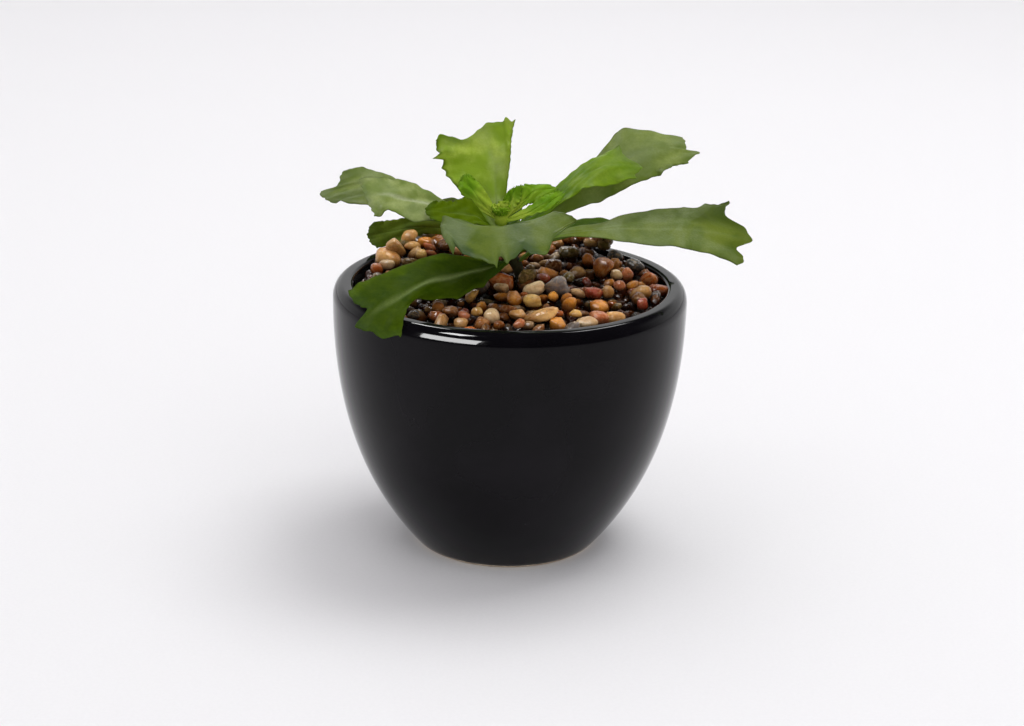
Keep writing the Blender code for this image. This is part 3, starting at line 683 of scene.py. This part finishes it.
def pebble_paint():
    """Polished stone: each in its own colour, clouded, banded and flecked, with painted shade down in the
    pile.
    """
    paint = Paint("pebbles")
    own = paint.attribute("stone_colour", "Color")
    grain = paint.noise(1300, 5)
    paint.colour = own
    cloud = paint.spread(paint.noise(190, 4, 0.5), 0.38, 0.68, 0, 0.8)
    paint.over(cloud, paint.mix(1, own, STONE_CLOUD, "MULTIPLY"))
    paint.over(paint.spread(paint.noise(240, 2, 2.5), 0.5, 0.62, 0, 0.25), STONE_BAND)
    paint.over(paint.spread(grain, 0.56, 0.7, 0, 0.45), paint.mix(1, own, STONE_FLECK, "MULTIPLY"))
    # painted shade: stones grow darker the deeper their points lie in the pile
    painted_shade = paint.mix(1, paint.colour, STONE_PAINTED_SHADE, "MULTIPLY")
    paint.over(paint.spread(paint.attribute("sunk"), 0.1, 0.9), painted_shade)
    paint.bump(paint.noise(420, 4), 0.7 * MM, 0.9)
    paint.bump(grain, 0.16 * MM, 0.9)
    rough = paint.spread(paint.noise(330), 0.35, 0.7, 0.12, 0.4)
    return paint.finish(rough, IOR=1.5, Specular_IOR_Level=0.42)


def grit_and_gap_shade_paint():
    """Fine grit that shows between the pebbles, its brown darkened nearly to black as painted shade in the
    gaps.
    """
    paint = Paint("grit")
    grain = paint.noise(900, 5)
    # painted shade: the grit is kept near black for the shade between the pebbles
    paint.colour = paint.mix(paint.spread(grain, 0.35, 0.7), *GRIT_AND_GAP_SHADE)
    paint.bump(grain, 0.5 * MM)
    return paint.finish(paint.spread(grain, 0.3, 0.7, 0.5, 0.8))


def soil_paint():
    """Damp growing medium: dark crumbs with paler fibres."""
    paint = Paint("soil")
    crumbs = paint.noise(420, 6)
    paint.colour = paint.mix(paint.spread(crumbs, 0.35, 0.7), *CRUMBS)
    paint.over(paint.spread(paint.noise(1500, 2, 3), 0.62, 0.72, 0, 0.6), FIBRES)
    paint.bump(crumbs, 0.9 * MM)
    return paint.finish(paint.spread(crumbs, 0.3, 0.7, 0.75, 0.95))


def stem_paint():
    """Green stem that turns dark and corky at its foot: partly brown bark, partly painted shade."""
    paint = Paint("stem")
    bark = paint.noise(700, 5, 0.8)
    green = paint.spread(paint.plus(paint.height(), paint.times(bark, 9 * MM)), *STEM_GREEN)
    # painted shade: the stem darkens lower down, where the leaves above shade it
    paint.colour = paint.mix(green, *STEM_SHADE_TO_GREEN)
    paint.over(paint.spread(bark, 0.45, 0.7, 0, 0.6), BARK)
    paint.bump(bark, 0.5 * MM)
    return paint.finish(paint.spread(bark, 0.3, 0.7, 0.75, 0.95))


def floor_paint():
    """Pale seamless paper."""
    paint = Paint("floor")
    fibre = paint.noise(900)
    paint.colour = paint.mix(paint.spread(fibre, 0.3, 0.7), *PAPER)
    paint.bump(fibre, 0.02 * MM)
    return paint.finish(paint.spread(fibre, 0.3, 0.7, 0.85, 0.95))


def object_from(name, points, faces, material, slot=None, attributes=None):
    """A smooth piece, on the only body when it has a slot. attributes hold a value or a colour for each
    point.
    """
    mesh = bpy.data.meshes.new(name)
    mesh.from_pydata([tuple(point) for point in points], [], faces)
    for label, values in (attributes or {}).items():
        values = np.asarray(values, dtype=np.float32)
        kind, key = ("FLOAT", "value") if values.ndim == 1 else ("FLOAT_COLOR", "color")
        mesh.attributes.new(label, kind, "POINT").data.foreach_set(key, values.ravel())
    mesh.materials.append(material)
    mesh.shade_smooth()
    mesh.update()
    item = bpy.data.objects.new(name, mesh)
    bpy.context.scene.collection.objects.link(item)
    if slot:
        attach(item, "root")
    return item


def joined(name, shapes, material, slot):
    """One piece from shapes, each with its points, faces and attributes."""
    points, faces, columns, count = [], [], {}, 0
    for some, shape, attributes in shapes:
        points.append(some)
        faces.append(shape + count)
        count += len(some)
        for label, values in attributes.items():
            columns.setdefault(label, []).append(values)
    columns = {label: np.concatenate(values) for label, values in columns.items()}
    return object_from(name, np.concatenate(points), np.concatenate(faces).tolist(), material, slot, columns)


def outer_radius(height):
    """The pot's side: full at the shoulder and drawn in to the foot."""
    drop = max(0, 1 - height / SHOULDER_HEIGHT)
    share = (1 - LOW_FLARE_SHARE) * drop**FLARE + LOW_FLARE_SHARE * drop ** (2 * FLARE)
    return mix(POT_RADIUS, FOOT_RADIUS, share)


def turned(profile, segments):
    """Points and faces of a solid of revolution about Z, whose profile starts and ends on the axis."""
    start, *rings, end = profile
    points = [(0, 0, start[1])]
    for radius, height in rings:
        for step in range(segments):
            angle = math.tau * step / segments
            points.append((radius * math.cos(angle), radius * math.sin(angle), height))
    points.append((0, 0, end[1]))
    faces = []
    for step in range(segments):
        after = (step + 1) % segments
        faces.append((0, 1 + step, 1 + after))
        for ring in range(len(rings) - 1):
            first, second = 1 + ring * segments, 1 + (ring + 1) * segments
            faces.append((first + step, second + step, second + after, first + after))
        last = 1 + (len(rings) - 1) * segments
        faces.append((last + step, len(points) - 1, last + after))
    return points, faces


def make_pot():
    profile = [(0, POT_FLOOR)]
    for step in range(INSIDE_STEPS):
        height = mix(POT_FLOOR, POT_HEIGHT - LIP_INSIDE, step / INSIDE_STEPS)
        profile.append((outer_radius(height) - WALL, height))
    for centre, wide, high, start, end in (
        (POT_RADIUS - WALL + LIP_INSIDE, LIP_INSIDE, LIP_INSIDE, 180, 90),
        (POT_RADIUS - LIP_OUTSIDE, LIP_OUTSIDE, LIP_FALL, 90, 0),
    ):
        for step in range(LIP_STEPS + 1):
            angle = math.radians(mix(start, end, step / LIP_STEPS))
            profile.append((centre + wide * math.cos(angle), POT_HEIGHT - high + high * math.sin(angle)))
    for step in range(1, SIDE_STEPS + 1):
        height = mix(POT_HEIGHT - LIP_FALL, SIDE_END, step / SIDE_STEPS)
        profile.append((outer_radius(height), height))
    profile += [(FOOT_RADIUS - inward, height) for inward, height in FOOT_CORNER]
    profile.append((0, 0))
    points, faces = turned(profile, POT_SEGMENTS)
    pot = object_from("glazed_pot", points, faces, glaze_paint(), "black_glaze")
    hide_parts("pot")
    return pot


def stem_axis(height):
    """The stem's middle at a height: upright in the gravel, then leaning to -X."""
    lean = float(ease((height - STEM_BEND) / (STEM_TOP - STEM_BEND)))
    return np.array((STEM_START_X - STEM_LEAN * lean, 0, height))


def stem_radius(height):
    """The stem is slimmer in the gravel than where its leaves grow."""
    low, high = STEM_SWELLS
    return mix(STEM_FOOT_RADIUS, STEM_RADIUS, float(ease((height - low) / (high - low))))


def make_stem():
    """A slim stem with swollen rings where older leaves fell."""
    points, faces = [tuple(stem_axis(STEM_FOOT))], []
    for step in range(STEM_STEPS + 1):
        height = mix(STEM_FOOT, STEM_TOP, step / STEM_STEPS)
        swell = max(0, math.cos(math.tau * height / SCAR_SPACING)) ** 4
        radius = stem_radius(height) * (1 - SCAR_SWELL + SCAR_SWELL * swell)
        for side in range(STEM_SIDES):
            angle = math.tau * side / STEM_SIDES
            out = radius * (1 + STEM_BULGE * math.sin(3 * angle + 900 * height))
            points.append(tuple(stem_axis(height) + out * np.array((math.cos(angle), math.sin(angle), 0))))
    points.append(tuple(stem_axis(STEM_TOP)))
    top = 1 + STEM_STEPS * STEM_SIDES
    for side in range(STEM_SIDES):
        after = (side + 1) % STEM_SIDES
        faces.append((0, 1 + after, 1 + side))
        for low in range(1, top, STEM_SIDES):
            high = low + STEM_SIDES
            faces.append((low + side, low + after, high + after, high + side))
        faces.append((top + side, top + after, len(points) - 1))
    stem = object_from("scarred_stem", points, faces, stem_paint(), "stem")
    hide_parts("stem")


def foot_row(foot):
    """The leaf's narrow end against the stem, as left, middle and right points."""
    height, direction, width = foot
    angle = math.radians(direction)
    outward = np.array((math.cos(angle), math.sin(angle), 0))
    leftward = np.array((-math.sin(angle), math.cos(angle), 0)) * width * MM / 2
    middle = stem_axis(height * MM) + outward * (STEM_RADIUS + 2 * GAP)
    return np.array((middle + leftward, middle, middle - leftward))


def leaf_rows(leaf):
    rows = np.array(leaf.rows, float) * MM
    return np.concatenate([foot_row(leaf.foot)[None], rows]) if leaf.foot else rows


def on_curve(points, share):
    """A smooth curve through evenly spaced points, from 0 at the first to 1 at the last."""
    last = len(points) - 1
    place = np.clip(share, 0, 1) * last
    index = np.minimum(place.astype(int), last - 1)
    x = (place - index)[..., None]
    padded = np.vstack([2 * points[0] - points[1], points, 2 * points[-1] - points[-2]])
    before, start, end, after = (padded[index + step] for step in range(4))
    return (
        start * (2 * x**3 - 3 * x**2 + 1)
        + (end - before) / 2 * (x**3 - 2 * x**2 + x)
        + end * (3 * x**2 - 2 * x**3)
        + (after - start) / 2 * (x**3 - x**2)
    )


def eased_between(stations, place):
    """The value at each place between (place, value) stations, level at each of them."""
    result = np.full(place.shape, float(stations[0][1]))
    for (start, low), (end, high) in zip(stations, stations[1:]):
        result = np.where(place > start, mix(low, high, ease((place - start) / (end - start))), result)
    return result


def tooth(place, centre, half_width):
    return np.maximum(0, 1 - abs(place - centre) / half_width) ** 1.2


def ripple(draw, place, lowest, highest, terms=4):
    """An uneven wave between about -1 and 1, from a few sines of drawn lengths."""
    total = np.zeros(place.shape)
    for _ in range(terms):
        total += np.sin(math.tau * (draw.uniform(lowest, highest) * place + draw.random()))
    return total / terms**0.5


def blade_middle(leaf, along, across, draw, fine):
    """The blade's middle surface at along 0 to 1 from the base and across -1 to 1."""
    rows = leaf_rows(leaf)
    left, rib, right = (on_curve(rows[:, side], along) for side in range(3))
    q = across[..., None]
    point = rib * (1 - q**2) + left * (q**2 - q) / 2 + right * (q**2 + q) / 2
    ahead = unit(on_curve(rows[:, 1], along + 0.01) - on_curve(rows[:, 1], along - 0.01))
    normal = unit(np.cross(right - left, ahead))
    on_left = across < 0
    outward = unit(np.where(on_left[..., None], left, right) - rib)
    aside = abs(across)
    end_reach = eased_between(leaf.tip, across)
    side_reach = np.zeros(along.shape)
    for where, centre, reach, half_width in leaf.teeth:
        if where == "T":
            end_reach = end_reach + reach * tooth(across, centre, half_width)
        else:
            here = on_left if where == "L" else ~on_left
            side_reach += here * reach * tooth(along, centre, half_width) * aside**1.5
    lift = np.zeros(along.shape)
    grown = ease((along - 0.15) / 0.35)
    for side, here in enumerate((on_left, ~on_left)):
        wave = np.sin(math.tau * (leaf.waves[side] * along + 0.35 * side))
        lift += here * leaf.ruffle[side] * grown * aside**2.5 * wave
        lift += here * fine * MARGIN_RIPPLE * grown * aside**4 * ripple(draw, along, 4, 9)
        side_reach += here * fine * OUTLINE_RIPPLE * grown * aside**3 * ripple(draw, along, 7, 16)
    end_reach = end_reach + fine * END_RIPPLE * ripple(draw, across, 1.5, 4)
    lift += fine * FACE_RIPPLE * (1 - aside**2) * ripple(draw, along + 0.4 * across, 1.5, 4)
    groove = np.exp(-((across / RIB_GROOVE_WIDTH) ** 2)) * (1 - 0.7 * along) * ease(along / 0.1)
    lift -= fine * RIB_GROOVE * groove
    point = point + outward * (side_reach * MM)[..., None] + normal * (lift * MM)[..., None]
    return point + ahead * (end_reach * MM * ease((along - 0.5) / 0.5))[..., None]


def blade(leaf, seed, cells, thickness=(RIB_THICKNESS, BLADE_THICKNESS), fine=1):
    """A leaf's points, faces and attributes: two faces that meet in a thin rounded edge."""
    draw = random.Random(seed)
    steps_along, steps_across = cells
    even = np.linspace(-1, 1, steps_across + 1)
    spaced = mix(even, np.sin(even * math.pi / 2), 0.7)
    along, across = np.meshgrid(np.linspace(0, 1, steps_along + 1), spaced, indexing="ij")
    middle = blade_middle(leaf, along, across, draw, fine)
    normal = unit(np.cross(np.gradient(middle, axis=1), np.gradient(middle, axis=0)))
    rib, margin = thickness
    half = mix(margin, rib, np.exp(-((across / RIB_WIDTH) ** 2)) * (1 - RIB_TAPER * along)) / 2
    near_edge = np.maximum(abs(across) ** 14, ease((along - 0.95) / 0.05) * 0.9)
    half = half * (1 - EDGE_THINNING * near_edge)
    upper = middle + normal * half[..., None]
    lower = middle - normal * half[..., None]
    points = np.concatenate([upper.reshape(-1, 3), lower.reshape(-1, 3)])
    count = along.size
    index = np.arange(count).reshape(along.shape)
    a, b, c, d = index[:-1, :-1], index[:-1, 1:], index[1:, 1:], index[1:, :-1]
    top = np.stack([a, b, c, d], -1).reshape(-1, 4)
    bottom = np.stack([a, d, c, b], -1).reshape(-1, 4) + count
    ring = np.concatenate([index[0, :-1], index[:-1, -1], index[-1, :0:-1], index[:0:-1, 0]])
    after = np.roll(ring, -1)
    rim = np.stack([ring, ring + count, after + count, after], -1)
    attributes = {
        "across": np.tile(across.ravel(), 2),
        "along": np.tile(along.ravel(), 2),
        "under": np.repeat((0.0, 1.0), count),
    }
    return points, np.concatenate([top, bottom, rim]), attributes


def make_leaves():
    for name, look in LEAF_LOOKS.items():
        made = blade(LEAVES[name], name, FRONT_CELLS if name == "leaf_front" else LEAF_CELLS)
        material = leaf_paint(name.replace("_", " "), look)
        piece = joined(name.replace("leaf", "blade"), [made], material, look.slot)
        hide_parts(name)


def heart_curls(draw):
    """Tiny upright blades round the middle of the heart."""
    centre = stem_axis(STEM_TOP) / MM + np.array((0, 0, CURL_START))
    for index in range(CURLS):
        angle = math.tau * index / CURLS + draw.uniform(-0.2, 0.2)
        outward = np.array((math.cos(angle), math.sin(angle), 0))
        leftward = np.array((-outward[1], outward[0], 0))
        height = draw.uniform(*CURL_HEIGHT)
        rows = []
        for out, up, half_width in CURL_ROWS:
            middle = centre + outward * out + np.array((0, 0, up * height))
            margin = middle - outward * CURL_CUP
            rows.append((margin + leftward * half_width, middle, margin - leftward * half_width))
        yield Leaf(*rows, ruffle=(0.7, 0.7), waves=(2, 3))


def bud_points():
    """A small egg-shaped bud between the stem's end and the youngest leaves."""
    profile = [(0, STEM_TOP + GAP)]
    for step in range(1, BUD_STEPS):
        angle = math.pi * step / BUD_STEPS
        rise = HEART_RADIUS * (1 - math.cos(angle))
        profile.append((HEART_RADIUS * math.sin(angle), STEM_TOP + GAP + rise))
    profile.append((0, STEM_TOP + GAP + 2 * HEART_RADIUS))
    points, faces = turned(profile, BUD_SEGMENTS)
    return np.array(points) + np.array((stem_axis(STEM_TOP)[0], 0, 0)), [face[::-1] for face in faces]


def make_heart():
    """The youngest leaves, crowded round the bud."""
    material = leaf_paint("young leaf", YOUNG)
    blades = []
    for index, leaf in enumerate(HEART_LEAVES):
        blades.append(blade(leaf, f"heart {index}", HEART_CELLS, YOUNG_THICKNESS, HEART_FINE))
    for index, leaf in enumerate(heart_curls(random.Random(CURL_SEED))):
        curl = blade(leaf, f"curl {index}", CURL_CELLS, YOUNG_THICKNESS, CURL_FINE)
        # the curls take the pale young colour: partly young leaf, partly painted light against the shade
        # among them
        curl[2]["along"] *= CURL_YOUNG_AND_LIT
        blades.append(curl)
    heart = joined("young_leaves", blades, material, "young_leaf")
    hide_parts("heart")
    points, faces = bud_points()
    attributes = {key: np.full(len(points), value) for key, value in BUD_PLACE.items()}
    object_from("bud", points, faces, material, "young_leaf", attributes)


def gravel_height(x, y):
    """The top of the gravel bed: higher round the plant, towards the back and at two heaps."""
    out = min(1, math.hypot(x, y) / BED_RADIUS)
    height = BED_EDGE_TOP + BED_SLOPE * y + BED_MOUND * (1 - out)
    for heap_x, heap_y, radius, rise in HEAPS:
        away = math.hypot(x - heap_x * MM, y - heap_y * MM)
        height += rise * MM * float(ease(1 - away / (radius * MM)))
    return height


def make_grit():
    """The fine bed that the pebbles lie in. The profile's heights are 1 for its top and 0 below."""
    profile = [(BED_RADIUS * ring / BED_RINGS, 1) for ring in range(BED_RINGS + 1)]
    points, faces = turned([*profile, (BED_RADIUS, 0), (0, 0)], BED_SEGMENTS)
    bed = []
    for x, y, top in points:
        bumps = noise.fractal(Vector((x, y, 0)) * GRIT_SCALE, 0.8, 2.2, 3) * GRIT_RELIEF
        height = gravel_height(x, y) - BED_DEPTH + bumps if top else MEDIUM_TOP + GAP
        bed.append((x, y, height))
    object_from("gravel_bed", bed, [face[::-1] for face in faces], grit_and_gap_shade_paint(), "pebbles")


def round_points(subdivisions):
    """Directions and faces of a ball of even triangles."""
    ball = bmesh.new()
    bmesh.ops.create_icosphere(ball, subdivisions=subdivisions, radius=1)
    directions = np.array([vert.co[:] for vert in ball.verts])
    faces = np.array([[vert.index for vert in face.verts] for face in ball.faces])
    ball.free()
    return unit(directions), faces


def stone_points(draw, directions, half_sizes, turn, chips):
    """A worn stone: a squarish ball with soft dents and a few flat chipped sides."""
    power = draw.uniform(*SQUARENESS)
    radius = (abs(directions) ** power).sum(1) ** (-1 / power)
    for _ in range(DENTS):
        axis = np.array([draw.gauss(0, 1) for _ in range(3)])
        radius *= 1 + DENT_DEPTH * np.sin(directions @ axis * DENT_WAVES + draw.uniform(0, math.tau))
    for _ in range(chips):
        axis = unit(np.array([draw.gauss(0, 1) for _ in range(3)]))
        facing = np.maximum(directions @ axis, 0.05)
        radius = np.minimum(radius, draw.uniform(*CHIP_REACH) / facing)
    points = directions * radius[:, None] * np.array(half_sizes)
    return points @ np.array(turn).T


def stone_tint(draw, name):
    """The named colour, a little lighter or darker and warmer or cooler from stone to stone."""
    light = draw.uniform(*STONE_LIGHT)
    warm = draw.uniform(-STONE_WARMTH, STONE_WARMTH)
    red, green, blue, _ = tint(STONE_COLOURS[name])
    return (red * light * (1 + warm), green * light, blue * light * (1 - warm), 1)


def stone(draw, ball, place, half_sizes, turn, chips, colour=None):
    """A stone with its own colour, and with how deep in the pile each of its points lies, for the painted
    shade there.
    """
    directions, faces = ball
    points = stone_points(draw, directions, half_sizes, turn, chips) + np.array(place)
    own = stone_tint(draw, colour or draw.choice(STONE_MIX))
    depth = gravel_height(*place[:2]) + STONE_TOPS - points[:, 2]
    sunk = np.clip(depth / SUNK_DEPTH, 0, 1)
    return points, faces, {"stone_colour": np.tile(own, (len(points), 1)), "sunk": sunk}


class Pile:
    """Stones that are dropped one by one and rest on those below."""

    def __init__(self):
        self.stones = np.zeros((0, 4))

    def rest(self, x, y, radius):
        """The height of a stone's middle where it comes to rest."""
        lowest = gravel_height(x, y) - BED_DEPTH + radius * STONE_RISE
        reach = (self.stones[:, 3] + radius) * STONE_SQUEEZE
        away = np.hypot(self.stones[:, 0] - x, self.stones[:, 1] - y)
        touching = away < reach
        if touching.any():
            tops = self.stones[touching, 2] + np.sqrt(reach[touching] ** 2 - away[touching] ** 2)
            lowest = max(lowest, tops.max())
        return lowest

    def put(self, x, y, height, radius):
        self.stones = np.vstack([self.stones, (x, y, height, radius)])

    def drop(self, draw, ceiling, sizes):
        """Drops stones until enough tries find no place below the ceiling, and returns them."""
        before, misses = len(self.stones), 0
        while misses < STONE_MISSES:
            radius = draw.choice(sizes) * draw.uniform(0.85, 1.15) * MM
            best = None
            for _ in range(STONE_TRIES):
                out = (BED_RADIUS - radius * STONE_CLEARANCE) * math.sqrt(draw.random())
                angle = draw.uniform(0, math.tau)
                x, y = out * math.cos(angle), out * math.sin(angle)
                if math.hypot(x - STEM_START_X, y) < STEM_RADIUS + STONE_CLEARANCE * radius:
                    continue
                height = self.rest(x, y, radius)
                over = height + STONE_RISE * radius - gravel_height(x, y)
                if best is None or over < best[0]:
                    best = (over, x, y, height)
            if best is None or best[0] > ceiling:
                misses += 1
            else:
                self.put(*best[1:], radius)
        return self.stones[before:]


def stone_turn(draw, spread):
    """A random turn about Z after a lean of up to the spread."""
    about_x = Matrix.Rotation(draw.uniform(-spread, spread), 3, "X")
    about_y = Matrix.Rotation(draw.uniform(-spread, spread), 3, "Y")
    return Matrix.Rotation(draw.uniform(0, math.tau), 3, "Z") @ (about_x @ about_y)


def noted_stones(draw, pile):
    """The stones that stand out, set on the pile at the height of its top."""
    for x, y, wide, high, lean, colour in NOTED_STONES:
        radius = (wide + high) / 2 * MM
        x, y = x * MM, y * MM
        top = gravel_height(x, y) + STONE_TOPS
        height = max(top - high * MM, min(pile.rest(x, y, 0.8 * radius), top))
        pile.put(x, y, height, radius)
        turn = Matrix.Rotation(-math.radians(lean), 3, "Y") @ Matrix.Rotation(draw.uniform(-0.3, 0.3), 3, "Z")
        half_sizes = (wide * MM, mix(wide, high, 0.5) * MM, high * MM)
        yield Vector((x, y, height)), half_sizes, turn, colour


def make_pebbles():
    """Loose mixed pebbles in two pieces: those on top, and plainer ones that fill the gaps below."""
    draw = random.Random(STONE_SEED)
    pile = Pile()
    low = pile.drop(draw, LOW_STONE_TOPS, LOW_STONES)
    noted = list(noted_stones(draw, pile))
    high = pile.drop(draw, STONE_TOPS, TOP_STONES)
    material = pebble_paint()
    for name, stones, subdivisions in (("pebbles_below", low, 1), ("pebbles", high, 2)):
        ball = round_points(subdivisions)
        shapes = []
        for x, y, height, radius in stones:
            long, flat = draw.uniform(*STONE_LENGTH), draw.uniform(*STONE_HEIGHT)
            half_sizes = (radius * long, radius * draw.uniform(*STONE_WIDTH), radius * flat)
            chips = draw.choice(STONE_CHIPS)
            shapes.append(stone(draw, ball, (x, y, height), half_sizes, stone_turn(draw, STONE_LEAN), chips))
        if name == "pebbles":
            ball = round_points(3)
            for place, half_sizes, turn, colour in noted:
                chips = draw.choice(NOTED_CHIPS)
                shapes.append(stone(draw, ball, place, half_sizes, turn, chips, colour))
        piece = joined(name, shapes, material, "pebbles")
        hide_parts("gravel")


def make_floor():
    half = FLOOR_REACH
    corners = [(-half, -half, 0), (half, -half, 0), (half, half, 0), (-half, half, 0)]
    floor = object_from("floor", corners, [(0, 1, 2, 3)], floor_paint())


def make_lamp(name, place, aim, size, power, shows_in_gloss):
    """A rectangular softbox, for its reflection or for the light on surfaces."""
    data = bpy.data.lights.new(name, "AREA")
    data.shape = "RECTANGLE"
    data.size, data.size_y = size
    data.energy = power
    lamp = bpy.data.objects.new(name, data)
    lamp.location = place
    towards = Vector(aim) - Vector(place)
    lamp.rotation_euler = towards.to_track_quat("-Z", "Y").to_euler()
    lamp.visible_diffuse = not shows_in_gloss
    lamp.visible_transmission = not shows_in_gloss
    lamp.visible_glossy = shows_in_gloss
    bpy.context.scene.collection.objects.link(lamp)
    return lamp


def make_lights(pot):
    """All the lamps. The first lights the pot alone, or it would whiten the leaves seen from the side."""
    lamps = [make_lamp(*lamp) for lamp in LAMPS]
    group = bpy.data.collections.new("rim light")
    group.objects.link(pot)
    lamps[0].light_linking.receiver_collection = group


def make_world():
    """A pale room: even for diffuse light, and dark in front and overhead in reflections."""
    world = bpy.data.worlds.new("studio")
    bpy.context.scene.world = world
    world.use_nodes = True
    room = Nodes(world.node_tree)
    toward = room.node("SeparateXYZ", Vector=room.node("TexCoord").outputs["Generated"]).outputs
    ray = room.node("LightPath").outputs
    level = room.spread(toward["Y"], -0.1, 0.6, ROOM_IN_FRONT, ROOM_BEHIND)
    shine = room.choose(room.spread(toward["Z"], 0.33, 0.6), level, ROOM_OVERHEAD)
    strength = room.choose(ray["Is Glossy Ray"], ROOM_LIGHT, shine)
    strength = room.choose(ray["Is Camera Ray"], strength, ROOM_SEEN)
    red, green, blue = ROOM_COLOUR
    green = room.choose(ray["Is Diffuse Ray"], green, ROOM_LIGHT_GREEN)
    colour = room.node("CombineColor", Red=red, Green=green, Blue=blue).outputs["Color"]
    room.fill(room.tree.nodes["Background"], Color=colour, Strength=strength)


def make_camera():
    data = bpy.data.cameras.new("camera")
    data.sensor_fit = "HORIZONTAL"
    data.sensor_width = SENSOR
    data.lens = FOCAL_PIXELS * SENSOR / IMAGE_WIDTH
    camera = bpy.data.objects.new("camera", data)
    back = Vector((0, -math.cos(CAMERA_ELEVATION), math.sin(CAMERA_ELEVATION)))
    place = Matrix.Translation(Vector(CAMERA_AIM) + back * CAMERA_DISTANCE)
    tilt = Matrix.Rotation(math.pi / 2 - CAMERA_ELEVATION, 4, "X")
    camera.matrix_world = place @ tilt @ Matrix.Rotation(CAMERA_ROLL, 4, "Z")
    bpy.context.scene.collection.objects.link(camera)
    bpy.context.scene.camera = camera


def main():
    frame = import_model()
    bpy.context.scene.view_settings.view_transform = "Standard"
    make_camera()
    make_world()
    make_floor()
    make_lights(make_pot())
    frame["nodes"]["growing_medium"].material_slots[0].material = soil_paint()
    make_grit()
    make_pebbles()
    make_stem()
    make_leaves()
    make_heart()


main()
